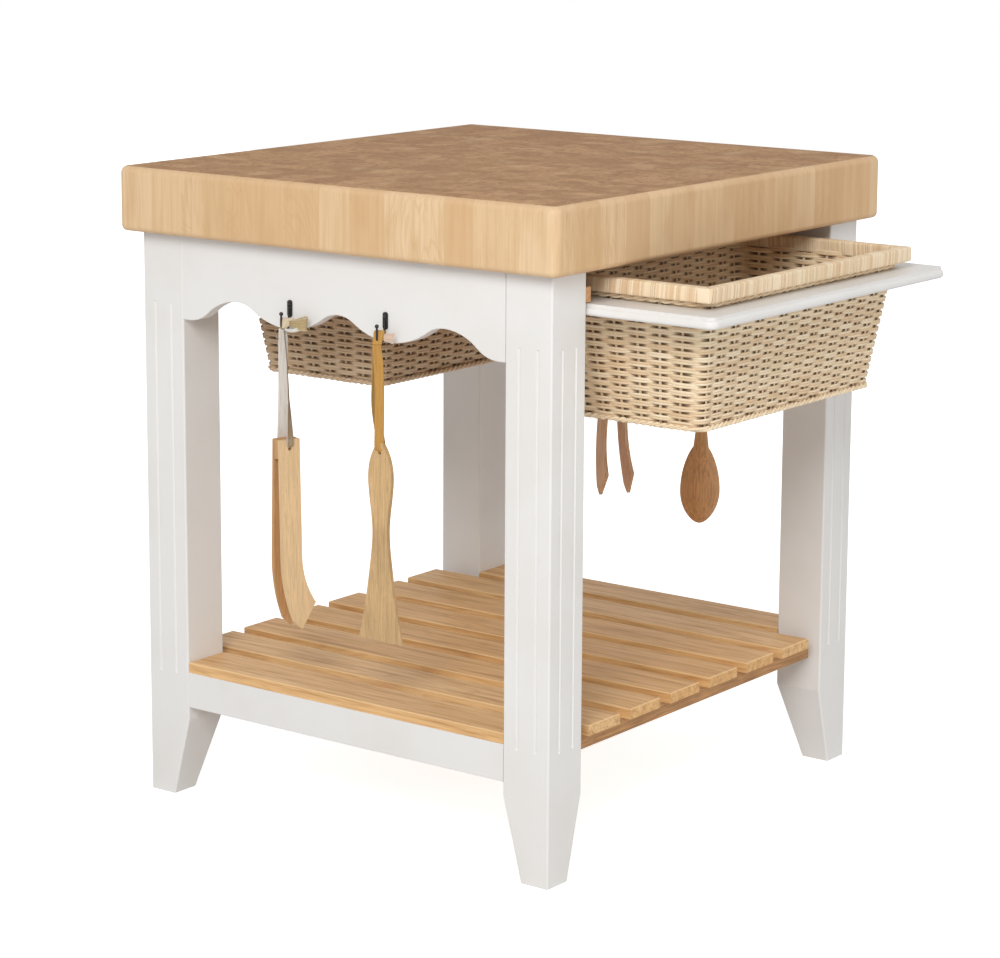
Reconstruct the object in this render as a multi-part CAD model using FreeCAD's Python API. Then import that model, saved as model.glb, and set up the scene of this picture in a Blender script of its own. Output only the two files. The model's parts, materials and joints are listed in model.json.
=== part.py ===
import FreeCAD, Part
import os
from math import acos, asin, cos, radians, sin, sqrt, tan

# Kitchen island cart: a butcher block top on four fluted legs, a slatted shelf and two basket
# drawers that slide out at opposite ends, with utensils hanging from hooks on its aprons.
#
# Frame: origin on the floor under the middle of the top, +Z up. X runs along the scalloped
# aprons and the drawers slide along it. The front apron is on the -Y side, the back one on +Y.
# The right drawer opens towards +X and is modelled pulled out; the left one is closed.
# All sizes are in millimetres.

# ---- driving dimensions -------------------------------------------------------------------
# Top
top_length = 762.0          # along X
top_width = 814.0           # along Y
top_thickness = 92.0
top_corner_radius = 12.0
top_edge_radius = 10.0
top_lower_radius = 8.0
underside = 822.0           # height of the top's underside above the floor

# Legs
overhang_x = 23.0           # top beyond the outer faces of the legs
overhang_y = 25.5
leg_size = 75.0
foot_size = 45.0
taper_height = 116.0        # the two inner faces taper below this height
leg_edge_radius = 2.5
flute_offset = 15.0         # each flute from the middle of its face
flute_radius = 3.0
flute_depth = 1.8
flute_start = 182.0         # lower end above the floor
flute_end_gap = 98.0        # upper end below the underside of the top

# Scalloped aprons
apron_thickness = 20.0
apron_height = 121.0
apron_end_length = 11.5     # level lower edge beside each leg
arch_count = 3
arch_rise = 34.0            # crest above the level ends
pendant_lift = 6.0          # tips between the arches above the level ends
middle_crest_radius = 48.0
outer_crest_radius = 85.0
apron_edge_radius = 1.5

# Joinery
tenon_length = 28.0
tenon_thickness = 10.0
tenon_shoulder = 10.0       # shoulder above and below a tenon
mortise_clearance = 0.2
mortise_end_gap = 2.0

# Lower rails and shelf
rail_height = 52.0
rail_thickness = 20.0
shelf_height = 187.0        # top of the lower rails, where the slats lie
slat_count = 8
slat_width = 73.0
slat_thickness = 15.0
slat_edge_radius = 2.0
slat_setback = 1.5          # outer slats behind the outer faces of the rails
slat_end_inset = 6.0        # long slats behind the outer faces of the legs
short_slat_gap = 0.5        # outer slats from the legs beside them
bearer_width = 40.0
bearer_height = 22.0
bearer_inset = 21.0         # end bearers behind the outer faces of the legs

# Screws
screw_radius = 2.0
screw_head_radius = 4.0
screw_head_height = 2.4
screw_hole_clearance = 0.1
shelf_screw_bite = 10.0     # how far a shelf screw reaches into its slat
top_screw_bite = 26.0       # how far a top screw reaches into the top

# Drawer trays and the runners that carry them
tray_thickness = 16.0
tray_drop = 46.0            # top of the tray below the underside of the top
tray_inset = 11.0           # closed tray behind the outer faces of the legs
tray_side_gap = 3.5         # tray from the legs beside it
tray_corner_radius = 14.0
tray_step_depth = 4.0       # step worked round the upper edge
tray_step_inset = 3.5
tray_nose_radius = 5.0
runner_width = 14.0
runner_height = 20.0
runner_end_inset = 15.0     # lower runner ends behind the outer faces of the legs
guide_end_inset = 3.0       # upper guide ends behind them
runner_gap = 0.3            # tray above its lower runner
guide_gap = 1.6             # upper guide above the tray
stop_thickness = 16.0       # board across the middle, where both trays stop
stop_gap = 1.0
drawer_open = 205.0         # how far the right drawer stands out
block_length = 46.0         # corner blocks behind the aprons
block_depth = 28.0
block_height = 34.0
block_edge = 5.0

# Baskets
basket_height = 178.0       # from its underside to the underside of its rim
basket_flare = 27.0         # each side wider at the rim than at the floor
basket_wall = 6.0
basket_floor = 7.0
basket_corner_radius = 16.0
basket_drop = 37.0          # underside of the rim below the underside of the top
rim_height = 21.0
rim_width = 17.0
rim_overhang = 14.0         # rim outside the wall below it
rim_corner_radius = 6.0
rim_inner_radius = 3.0
rim_edge_radius = 3.0
rim_front_margin = 32.0     # rim from the front edge of the tray
rim_side_margin = 43.0
rim_back_margin = 9.0
seat_gap = 0.3              # rim from its wall, wall from the tray, band from the wall
band_height = 9.0           # coiled band round the basket's lower edge
band_width = 4.5

# Hooks, beside the pendants of the aprons
hook_from_pendant = 6.5     # each hook nearer the middle of its apron than a pendant
plate_width = 8.0
plate_height = 23.0
plate_thickness = 2.0
plate_lift = 18.0           # foot of the plate above the pendants
plate_end_radius = 3.2
wire_radius = 1.5
wire_sink = 0.5             # how far the wire is set into its plate
hook_radius = 8.0
hook_drop = 9.0             # middle of the hook's bend below the plate
hook_tip_rise = 15.0
hook_tip_radius = 2.8
hook_screw_radius = 1.4
hook_screw_length = 14.0
hook_screw_head = 2.8
hook_screw_inset = 6.0
hook_screw_pilot = 0.1      # pilot hole beyond the screw all round

# Straps and utensils
knot_radius = 4.5
knot_clearance = 0.4
knot_half_angle = 26.0
knot_overlap = 1.0          # how far a strap reaches up into its knot
strap_width = 13.0
strap_thickness = 1.4
strap_gap = 0.8             # strap in front of and behind the utensil
strap_seam = 8.0            # length over which its two runs are joined below the knot
strap_tail = 4.0            # ends of the strap below its cord
cord_radius = 2.4
cord_hole_clearance = 0.4
hole_inset = 13.0           # hanging hole below the top of a utensil

spatula_hang = 144.0        # top of a utensil below the middle of its hook's bend
spatula_length = 274.0
spatula_thickness = 6.0
spatula_tip_thickness = 2.5
spatula_head_width = 9.0
spatula_bulb_width = 38.0
spatula_neck_width = 26.0
spatula_shoulder_width = 33.0
spatula_blade_width = 76.0
spatula_bulb_drop = 34.0
spatula_neck_drop = 115.0
spatula_shoulder_drop = 165.0

front_tongs_hang = 159.0
front_tongs_turn = 72.0     # how far the tongs hang turned about their strap, in degrees
front_tongs_splay = 1.6     # how far each leaf leans out, in degrees
back_tongs_hang = 101.0
back_tongs_turn = -34.0
back_tongs_splay = 3.5
leaf_width = 32.0
leaf_tip_width = 43.0       # where the sideways bend ends
leaf_thickness = 5.5
leaf_straight = 166.0       # straight part of a leaf
leaf_curve_radius = 120.0   # inside of the sideways bend
leaf_curve_angle = 34.0
leaf_point_length = 17.0
leaf_point_share = 0.1      # where the point lies across the width of the leaf
tongs_block_length = 27.0
tongs_block_thickness = 9.0

spoon_hang = 131.0
spoon_turn = 217.0
spoon_length = 267.0
spoon_handle_radius = 6.5
spoon_head_radius = 6.0     # dome on the end of the handle
spoon_bowl_width = 62.0
spoon_bowl_below = 52.0     # the bowl's tip below its widest place
spoon_bowl_above = 78.0     # how far the bowl tapers upwards from there, into the neck
spoon_bowl_depth = 20.0
spoon_bowl_wall = 4.0
spoon_hollow_above = 54.0
spoon_neck_rise = 84.0      # the neck above the widest place, with half its width and depth
spoon_neck_half = 10.5
spoon_neck_deep = 9.5
spoon_flare_rise = 62.0     # where the neck runs over the bowl
spoon_flare_half = 13.0
spoon_flare_deep = 7.5
spoon_flare_forward = 1.5   # its middle in front of the middle of the handle
spoon_root_rise = 44.0      # where the neck ends, inside the bowl
spoon_root_half = 14.0
spoon_root_deep = 4.5
spoon_root_forward = 4.5

overshoot = 1.0             # how far a cutter passes the face that it opens
same_place = 0.01           # points closer than this lie at the same place

# ---- places worked out from them ------------------------------------------------------------
leg_x = top_length / 2 - overhang_x
leg_y = top_width / 2 - overhang_y
inner_x = leg_x - leg_size
inner_y = leg_y - leg_size
rail_bottom = shelf_height - rail_height
bearer_bottom = shelf_height - bearer_height
apron_bottom = underside - apron_height
block_bottom = underside - block_height
arch_pitch = 2 * (inner_x - apron_end_length) / arch_count

tray_top = underside - tray_drop
tray_bottom = tray_top - tray_thickness
tray_front = leg_x - tray_inset
tray_back = stop_thickness / 2 + stop_gap
tray_half = inner_y - tray_side_gap
runner_top = tray_bottom - runner_gap
guide_bottom = tray_top + guide_gap

rim_bottom = underside - basket_drop
rim_top = rim_bottom + rim_height
rim_front = tray_front - rim_front_margin
rim_back = tray_back + rim_back_margin
rim_half = tray_half - rim_side_margin
basket_bottom = rim_bottom - basket_height
wall_front = rim_front - rim_overhang
wall_back = rim_back + rim_overhang
wall_half = rim_half - rim_overhang
flare_at_tray = basket_flare * (rim_bottom - tray_top) / basket_height

hook_x = arch_pitch / 2 - hook_from_pendant
hook_y = leg_y + plate_thickness + wire_radius - wire_sink + hook_radius
plate_bottom = apron_bottom + pendant_lift + plate_lift
plate_top = plate_bottom + plate_height
hook_z = plate_bottom - hook_drop

V = FreeCAD.Vector
up = V(0, 0, 1)
origin = V(0, 0, 0)


# ---- shapes that several pieces share --------------------------------------------------------
def box(x0, x1, y0, y1, z0, z1):
    """A box between two corners."""
    return Part.makeBox(x1 - x0, y1 - y0, z1 - z0, V(x0, y0, z0))


def rod(radius, start, end):
    """A round bar from start to end."""
    return Part.makeCylinder(radius, (end - start).Length, start, end - start)


def mirrored_x(shape):
    """The piece on the other side of the plane X = 0."""
    return shape.mirror(origin, V(1, 0, 0))


def mirrored_y(shape):
    """The piece on the other side of the plane Y = 0."""
    return shape.mirror(origin, V(0, 1, 0))


def rounded_rectangle(x0, x1, y0, y1, radius, z):
    """A closed wire at height z with four equal round corners."""
    pull = radius * (1 - sqrt(0.5))
    corners = [(x1, y0, -1, 1), (x1, y1, -1, -1), (x0, y1, 1, -1), (x0, y0, 1, 1)]
    bends = []
    for index, (x, y, side_x, side_y) in enumerate(corners):
        ends = [V(x + side_x * radius, y, z), V(x, y + side_y * radius, z)]
        if index % 2 == 1:
            ends.reverse()
        bends.append((ends[0], V(x + side_x * pull, y + side_y * pull, z), ends[1]))
    edges = []
    for bend, following in zip(bends, bends[1:] + bends[:1]):
        edges.append(Part.Arc(*bend).toShape())
        edges.append(Part.makeLine(bend[2], following[0]))
    return Part.Wire(edges)


def polygon(points):
    """A closed wire with straight sides."""
    return Part.makePolygon(points + points[:1])


def prism(wire, direction):
    """A flat outline carried along a direction."""
    return Part.Face(wire).extrude(direction)


def ruled_solid(lower, upper):
    """A solid with straight sides between two outlines."""
    return Part.makeLoft([lower, upper], True, True)


def near(value, target):
    """Whether two lengths are the same."""
    return abs(value - target) < same_place


def edges_where(shape, test):
    """The edges whose two ends and middle all pass the test."""
    chosen = []
    for edge in shape.Edges:
        middle = edge.valueAt((edge.FirstParameter + edge.LastParameter) / 2)
        points = [vertex.Point for vertex in edge.Vertexes] + [middle]
        if all(test(point) for point in points):
            chosen.append(edge)
    return chosen


def screw(place, length):
    """An upright screw whose head is flush at its place."""
    head = rod(screw_head_radius, place, place + up * screw_head_height)
    return head.fuse(rod(screw_radius, place, place + up * length)).removeSplitter()


def screw_hole(place, length):
    """The bore for an upright screw."""
    return rod(screw_radius + screw_hole_clearance, place, place + up * length)


def head_recess(place):
    """The counterbore that hides a screw's head."""
    return rod(screw_head_radius + screw_hole_clearance, place, place + up * screw_head_height)


def save(shape, name):
    """Write one piece, or one group of like fasteners, under its own name."""
    shape.exportStep("parts/" + name + ".step")


# ---- top -----------------------------------------------------------------------------------
def top_screw_places():
    """X and Y of the screws up into the top, one in each corner block."""
    x = inner_x - block_length / 2
    y = leg_y - apron_thickness - block_depth / 2
    return [(side_x * x, side_y * y) for side_x in (-1, 1) for side_y in (-1, 1)]


def butcher_block_top():
    """A thick slab with rounded corners and edges, and blind screw holes underneath."""
    x, y, top = top_length / 2, top_width / 2, underside + top_thickness
    slab = box(-x, x, -y, y, underside, top)
    upright = edges_where(slab, lambda p: near(abs(p.x), x) and near(abs(p.y), y))
    slab = slab.makeFillet(top_corner_radius, upright)
    slab = slab.makeFillet(top_edge_radius, edges_where(slab, lambda p: near(p.z, top)))
    slab = slab.makeFillet(top_lower_radius, edges_where(slab, lambda p: near(p.z, underside)))
    for hole_x, hole_y in top_screw_places():
        slab = slab.cut(screw_hole(V(hole_x, hole_y, underside), top_screw_bite + screw_hole_clearance))
    return slab


# ---- legs ----------------------------------------------------------------------------------
def flute_cutter(x, y):
    """A long bead with round ends that leaves a stopped flute."""
    low = V(x, y, flute_start + flute_radius)
    high = V(x, y, underside - flute_end_gap - flute_radius)
    ends = [Part.makeSphere(flute_radius, low), Part.makeSphere(flute_radius, high)]
    return rod(flute_radius, low, high).fuse(ends)


def tenon(z0, z1, thickness, clearance=0.0, end_gap=0.0):
    """The tenon at the +X end of a front board, or with its clearances the mortise for it."""
    middle = -leg_y + thickness / 2
    half = tenon_thickness / 2 + clearance
    end = inner_x + tenon_length + end_gap
    low, high = z0 + tenon_shoulder - clearance, z1 - tenon_shoulder + clearance
    return box(inner_x - tenon_shoulder, end, middle - half, middle + half, low, high)


def front_right_leg():
    """A square post whose two inner faces taper to the foot, with two flutes on each outer face."""
    def section(size, z):
        return rounded_rectangle(leg_x - size, leg_x, -leg_y, -leg_y + size, leg_edge_radius, z)

    post = prism(section(leg_size, taper_height), up * (underside - taper_height))
    foot = ruled_solid(section(foot_size, 0), section(leg_size, taper_height))
    leg = post.fuse(foot).removeSplitter()
    stand_off = flute_radius - flute_depth
    for offset in (-flute_offset, flute_offset):
        on_front = flute_cutter(leg_x - leg_size / 2 + offset, -leg_y - stand_off)
        on_side = flute_cutter(leg_x + stand_off, -leg_y + leg_size / 2 + offset)
        leg = leg.cut([on_front, on_side])
    apron_mortise = tenon(apron_bottom, underside, apron_thickness, mortise_clearance, mortise_end_gap)
    rail_mortise = tenon(rail_bottom, shelf_height, rail_thickness, mortise_clearance, mortise_end_gap)
    return leg.cut([apron_mortise, rail_mortise])


# ---- aprons and lower rails -------------------------------------------------------------------
def ogee(low, high, crest_radius):
    """Two tangent arcs at one Y: hollow and level at the low point, round and level at the high one."""
    width, rise = abs(high.x - low.x), high.z - low.z
    both_radii = (width ** 2 + rise ** 2) / (2 * rise)
    hollow_radius = both_radii - crest_radius
    side = 1 if high.x > low.x else -1
    turn = asin(width / both_radii)

    def on_hollow(angle):
        return low + V(side * sin(angle), 0, 1 - cos(angle)) * hollow_radius

    def on_crest(angle):
        return high - V(side * sin(angle), 0, 1 - cos(angle)) * crest_radius

    hollow = Part.Arc(low, on_hollow(turn / 2), on_hollow(turn)).toShape()
    crest = Part.Arc(on_hollow(turn), on_crest(turn / 2), high).toShape()
    return [hollow, crest]


def scallop_edges(y):
    """The lower edge of an apron: arches side by side, with a pendant wherever two of them meet."""
    edges = []
    for arch in range(arch_count):
        middle = (arch - (arch_count - 1) / 2) * arch_pitch
        crest = V(middle, y, apron_bottom + arch_rise)
        for side in (-1, 1):
            at_leg = arch == (0 if side < 0 else arch_count - 1)
            low = V(middle + side * arch_pitch / 2, y, apron_bottom + (0 if at_leg else pendant_lift))
            edges += ogee(low, crest, outer_crest_radius if at_leg else middle_crest_radius)
    return edges


def front_apron():
    """A scalloped board with its outer lower edge eased, and a tenon at each end."""
    y = -leg_y
    shoulder = inner_x - apron_end_length
    corners = [V(-shoulder, y, apron_bottom), V(-inner_x, y, apron_bottom), V(-inner_x, y, underside),
               V(inner_x, y, underside), V(inner_x, y, apron_bottom), V(shoulder, y, apron_bottom)]
    straight = [Part.makeLine(start, end) for start, end in zip(corners, corners[1:])]
    outline = Part.Wire(Part.sortEdges(scallop_edges(y) + straight)[0])
    board = prism(outline, V(0, apron_thickness, 0))
    highest = apron_bottom + arch_rise + same_place
    eased = edges_where(board, lambda p: near(p.y, y) and p.z < highest)
    board = board.makeFillet(apron_edge_radius, eased)
    end = tenon(apron_bottom, underside, apron_thickness)
    board = board.fuse([end, mirrored_x(end)]).removeSplitter()
    place = V(hook_x, y, plate_top - hook_screw_inset)
    depth = hook_screw_length - plate_thickness + hook_screw_pilot
    pilot = rod(hook_screw_radius + hook_screw_pilot, place, place + V(0, depth, 0))
    return board.cut([pilot, mirrored_x(pilot)])


def front_lower_rail():
    """A plain rail under the slats with its outer lower edge eased, and a tenon at each end."""
    y = -leg_y
    board = box(-inner_x, inner_x, y, y + rail_thickness, rail_bottom, shelf_height)
    lower = edges_where(board, lambda p: near(p.y, y) and near(p.z, rail_bottom))
    board = board.makeFillet(apron_edge_radius, lower)
    end = tenon(rail_bottom, shelf_height, rail_thickness)
    return board.fuse([end, mirrored_x(end)]).removeSplitter()


def front_right_corner_block():
    """A glue block behind the apron, against the leg and the top, with a counterbored screw hole."""
    y0 = -leg_y + apron_thickness
    x0, y1 = inner_x - block_length, y0 + block_depth
    block = box(x0, inner_x, y0, y1, block_bottom, underside)
    block = block.makeChamfer(block_edge, edges_where(block, lambda p: near(p.x, x0) and near(p.y, y1)))
    place = V((x0 + inner_x) / 2, (y0 + y1) / 2, block_bottom)
    return block.cut([screw_hole(place, block_height), head_recess(place)])


def corner_blocks():
    """One block behind each end of both aprons."""
    front = [front_right_corner_block()]
    front.append(mirrored_x(front[0]))
    return Part.makeCompound(front + [mirrored_y(block) for block in front])


def top_screws():
    """One screw up through each corner block into the top."""
    length = block_height + top_screw_bite
    return Part.makeCompound([screw(V(x, y, block_bottom), length) for x, y in top_screw_places()])


# ---- shelf ---------------------------------------------------------------------------------
def slat_middle(index):
    """Y of a slat, with all the slats evenly spaced between the outer faces of the rails."""
    outer = leg_y - slat_setback - slat_width / 2
    return -outer + 2 * outer * index / (slat_count - 1)


def is_short_slat(index):
    """Whether a slat would meet a leg, and so stops between the legs."""
    return abs(slat_middle(index)) + slat_width / 2 > inner_y - short_slat_gap


def bearer_places():
    """Lowest and highest X of the left, middle and right bearers."""
    end = leg_x - bearer_inset
    return [(-end, -end + bearer_width), (-bearer_width / 2, bearer_width / 2), (end - bearer_width, end)]


def shelf_screw_places(index):
    """X and Y of the screws under one slat, one in each bearer that reaches it."""
    bearers = bearer_places()
    if is_short_slat(index):
        bearers = bearers[1:2]
    return [((x0 + x1) / 2, slat_middle(index)) for x0, x1 in bearers]


def shelf_slat(index):
    """One slat with its upper edges rounded and blind screw holes underneath."""
    middle = slat_middle(index)
    half = inner_x - short_slat_gap if is_short_slat(index) else leg_x - slat_end_inset
    top = shelf_height + slat_thickness
    slat = box(-half, half, middle - slat_width / 2, middle + slat_width / 2, shelf_height, top)
    slat = slat.makeFillet(slat_edge_radius, edges_where(slat, lambda p: near(p.z, top)))
    for x, y in shelf_screw_places(index):
        slat = slat.cut(screw_hole(V(x, y, shelf_height), shelf_screw_bite + screw_hole_clearance))
    return slat


def slat_bearer(number):
    """A batten under the slats: the end ones reach from leg to leg, the middle one from rail to rail."""
    x0, x1 = bearer_places()[number]
    half = leg_y - rail_thickness if number == 1 else inner_y
    bearer = box(x0, x1, -half, half, bearer_bottom, shelf_height)
    for index in range(slat_count):
        for x, y in shelf_screw_places(index):
            if x0 < x < x1:
                place = V(x, y, bearer_bottom)
                bearer = bearer.cut([screw_hole(place, bearer_height), head_recess(place)])
    return bearer


def shelf_screws():
    """Every screw up through a bearer into a slat."""
    length = bearer_height + shelf_screw_bite
    places = [place for index in range(slat_count) for place in shelf_screw_places(index)]
    return Part.makeCompound([screw(V(x, y, bearer_bottom), length) for x, y in places])


# ---- drawer runners ----------------------------------------------------------------------------
def front_strip(z0, end_inset):
    """A strip along the inner faces of both front legs, from its lower face up."""
    half = leg_x - end_inset
    return box(-half, half, -inner_y, -inner_y + runner_width, z0, z0 + runner_height)


def drawer_stop():
    """A board across the middle between the runners, where both trays stop."""
    half = inner_y - runner_width
    thick = stop_thickness / 2
    return box(-thick, thick, -half, half, runner_top - runner_height, guide_bottom + runner_height)


# ---- drawers, modelled closed at the +X end -------------------------------------------------------
def tray_blank():
    """The tray's full outline with a stepped upper edge and a round nose, before its opening."""
    def outline(inset, z):
        radius = tray_corner_radius - inset
        half = tray_half - inset
        return rounded_rectangle(tray_back, tray_front - inset, -half, half, radius, z)

    step_z = tray_top - tray_step_depth
    lower = prism(outline(0, tray_bottom), up * (step_z - tray_bottom))

    def on_nose(point):
        level = near(point.z, tray_bottom) or near(point.z, step_z)
        return level and point.x > tray_back + same_place

    lower = lower.makeFillet(tray_nose_radius, edges_where(lower, on_nose))
    upper_z = step_z - tray_nose_radius
    upper = prism(outline(tray_step_inset, upper_z), up * (tray_top - upper_z))
    return lower.fuse(upper).removeSplitter()


def tray_rails():
    """Front, back and two side rails, cut from one blank round the opening that the basket fills."""
    blank = tray_blank()
    grow = seat_gap - flare_at_tray
    x0, x1, half = wall_back - grow, wall_front + grow, wall_half + grow
    end, reach = tray_front + overshoot, tray_half + overshoot
    pieces = {"front_rail": (x1, end, -reach, reach),
              "back_rail": (tray_back - overshoot, x0, -reach, reach),
              "near_rail": (x0, x1, -reach, -half), "far_rail": (x0, x1, half, reach)}
    low, high = tray_bottom - overshoot, tray_top + overshoot
    return {name: blank.common(box(*corners, low, high)) for name, corners in pieces.items()}


def wall_outline(inset, height):
    """The outline at a height above the basket's underside, this far inside its outer face."""
    pull = basket_flare * (1 - height / basket_height) + inset
    half, radius = wall_half - pull, basket_corner_radius - inset
    z = basket_bottom + height
    return rounded_rectangle(wall_back + pull, wall_front - pull, -half, half, radius, z)


def basket_body():
    """A tapered open shell with a flat floor."""
    outside = ruled_solid(wall_outline(0, 0), wall_outline(0, basket_height))
    brim = wall_outline(basket_wall, basket_height)
    inside = ruled_solid(wall_outline(basket_wall, basket_floor), brim)
    return outside.cut([inside, prism(brim, up * overshoot)])


def basket_rim():
    """A square wrapped rim on top of the wall and outside it."""
    z0 = rim_bottom + seat_gap
    half, inner = rim_half - rim_width, rim_width
    outside = rounded_rectangle(rim_back, rim_front, -rim_half, rim_half, rim_corner_radius, z0)
    inside = rounded_rectangle(rim_back + inner, rim_front - inner, -half, half, rim_inner_radius, z0)
    ring = prism(outside, up * (rim_top - z0)).cut(prism(inside, up * (rim_top - z0)))
    level = edges_where(ring, lambda p: near(p.z, z0) or near(p.z, rim_top))
    return ring.makeFillet(rim_edge_radius, level)


def basket_band():
    """The coiled band round the lower edge of the basket."""
    def filled(inset):
        return ruled_solid(wall_outline(inset, 0), wall_outline(inset, band_height))

    return filled(-seat_gap - band_width).cut(filled(-seat_gap))


def drawer_pieces():
    """The four rails of a tray and the three parts of its basket, by name."""
    pieces = {"tray_" + name: shape for name, shape in tray_rails().items()}
    pieces["basket_body"] = basket_body()
    pieces["basket_rim"] = basket_rim()
    pieces["basket_band"] = basket_band()
    return pieces


# ---- hooks, modelled on the front apron at X = 0 ----------------------------------------------------
def hook_bend(radius, half_angle, y):
    """A round bar along the bend of a hook, either side of its lowest point."""
    centre, across = V(0, y, hook_z), V(1, 0, 0)
    disc = Part.Face(Part.Wire([Part.makeCircle(radius, centre - up * hook_radius, V(0, 1, 0))]))
    disc.rotate(centre, across, -half_angle)
    return disc.revolve(centre, across, 2 * half_angle)


def hook_screw_place():
    """Where the screw's head meets the plate."""
    return V(0, -leg_y - plate_thickness, plate_top - hook_screw_inset)


def front_hook():
    """A plate with a round wire that runs down it, out round a bend and up to a ball."""
    face, half = -leg_y, plate_width / 2
    plate = box(-half, half, face - plate_thickness, face, plate_bottom, plate_top)

    def at_corner(point):
        return near(abs(point.x), half) and (near(point.z, plate_bottom) or near(point.z, plate_top))

    plate = plate.makeFillet(plate_end_radius, edges_where(plate, at_corner))
    place = hook_screw_place()
    bore = rod(hook_screw_radius + hook_screw_pilot, place, place + V(0, plate_thickness, 0))
    inner, outer = -hook_y + hook_radius, -hook_y - hook_radius
    wire_top = V(0, inner, plate_top - plate_height / 2)
    tip = V(0, outer, hook_z + hook_tip_rise)
    wire = [rod(wire_radius, V(0, inner, hook_z), wire_top), hook_bend(wire_radius, 90, -hook_y),
            rod(wire_radius, V(0, outer, hook_z), tip), Part.makeSphere(hook_tip_radius, tip)]
    return plate.cut(bore).fuse(wire).removeSplitter()


def front_hook_screw():
    """A dome headed screw through the plate into the apron."""
    place, into = hook_screw_place(), V(0, 1, 0)
    dome = Part.makeSphere(hook_screw_head, place, into * -1, 0, 90)
    shank = rod(hook_screw_radius, place, place + into * hook_screw_length)
    return dome.fuse(shank).removeSplitter()


# ---- straps and utensils, modelled on the line X = 0, Y = 0 and placed on a hook afterwards ---------
def strap(hang, thickness, turn):
    """A knot round the hook and a flat loop down both faces of a utensil, joined through its hole."""
    top = hook_z - hang
    knot_z = hook_z - hook_radius - knot_radius + knot_overlap
    cord_z = top - hole_inset
    foot = cord_z - cord_radius - strap_tail
    inner = thickness / 2 + strap_gap
    outer, middle = inner + strap_thickness, inner + strap_thickness / 2
    loop = rod(cord_radius, V(0, -middle, cord_z), V(0, middle, cord_z))
    for side in (-1, 1):
        outline = [(0, knot_z), (strap_thickness, knot_z), (outer, top), (outer, foot), (inner, foot),
                   (inner, top), (0, knot_z - strap_seam)]
        points = [V(-strap_width / 2, side * y, z) for y, z in outline]
        loop = loop.fuse(prism(polygon(points), V(strap_width, 0, 0)))
    loop.rotate(origin, up, turn)
    bore = hook_bend(wire_radius + knot_clearance, 2 * knot_half_angle, 0)
    knot = hook_bend(knot_radius, knot_half_angle, 0).cut(bore)
    return loop.fuse(knot).removeSplitter()


def hanging_hole(top, thickness):
    """The bore near the top of a utensil for its strap's cord."""
    place = V(0, -thickness, top - hole_inset)
    return rod(cord_radius + cord_hole_clearance, place, place + V(0, 2 * thickness, 0))


def spatula():
    """A flat turner: narrow head, bulb, neck and a blade that thins towards its edge."""
    top, face = hook_z - spatula_hang, spatula_thickness / 2
    widths = [(0, spatula_head_width), (spatula_bulb_drop, spatula_bulb_width),
              (spatula_neck_drop, spatula_neck_width), (spatula_shoulder_drop, spatula_shoulder_width),
              (spatula_length, spatula_blade_width)]
    side = Part.BSplineCurve()
    side.interpolate([V(width / 2, -face, top - drop) for drop, width in widths])
    right = side.toShape()
    ends = [Part.makeLine(V(-width / 2, -face, top - drop), V(width / 2, -face, top - drop))
            for drop, width in (widths[0], widths[-1])]
    outline = Part.Wire(Part.sortEdges([right, mirrored_x(right)] + ends)[0])
    blade = prism(outline, V(0, spatula_thickness, 0))
    low, high = top - spatula_length - overshoot, top - spatula_shoulder_drop
    proud, thin = face + overshoot, spatula_tip_thickness / 2
    for side in (-1, 1):
        corners = [(face, high), (proud, high), (proud, low), (thin, low)]
        wedge = polygon([V(-spatula_blade_width, side * y, z) for y, z in corners])
        blade = blade.cut(prism(wedge, V(2 * spatula_blade_width, 0, 0)))
    return blade.cut(hanging_hole(top, spatula_thickness))


def tongs_leaf(top):
    """A flat strip that widens as it bends sideways and comes to a point, with one face at Y = 0."""
    half, bend_z = leaf_width / 2, top - leaf_straight
    turn = radians(leaf_curve_angle)
    across, ahead = V(cos(turn), 0, sin(turn)), V(sin(turn), 0, -cos(turn))
    inner_end = V(half + leaf_curve_radius, 0, bend_z) - across * leaf_curve_radius
    outer_end = inner_end - across * leaf_tip_width
    point = outer_end + across * leaf_tip_width * leaf_point_share + ahead * leaf_point_length

    def bend(x, end):
        """The arc that leaves an upright side at this X without a corner and runs to the end."""
        wide, drop = end.x - x, bend_z - end.z
        radius = (wide ** 2 + drop ** 2) / (2 * wide)
        share = asin(drop / radius) / 2
        middle = V(x + radius * (1 - cos(share)), 0, bend_z - radius * sin(share))
        return Part.Arc(V(x, 0, bend_z), middle, end).toShape()

    corners = [inner_end, point, outer_end]
    edges = [Part.makeLine(start, end) for start, end in zip(corners, corners[1:])]
    corners = [V(-half, 0, bend_z), V(-half, 0, top), V(half, 0, top), V(half, 0, bend_z)]
    edges += [Part.makeLine(start, end) for start, end in zip(corners, corners[1:])]
    edges += [bend(half, inner_end), bend(-half, outer_end)]
    return prism(Part.Wire(Part.sortEdges(edges)[0]), V(0, leaf_thickness, 0))


def tongs_thickness(splay):
    """Thickness over both leaves at their hanging hole."""
    lean = radians(splay)
    return tongs_block_thickness + 2 * (leaf_thickness / cos(lean) + hole_inset * tan(lean))


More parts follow.
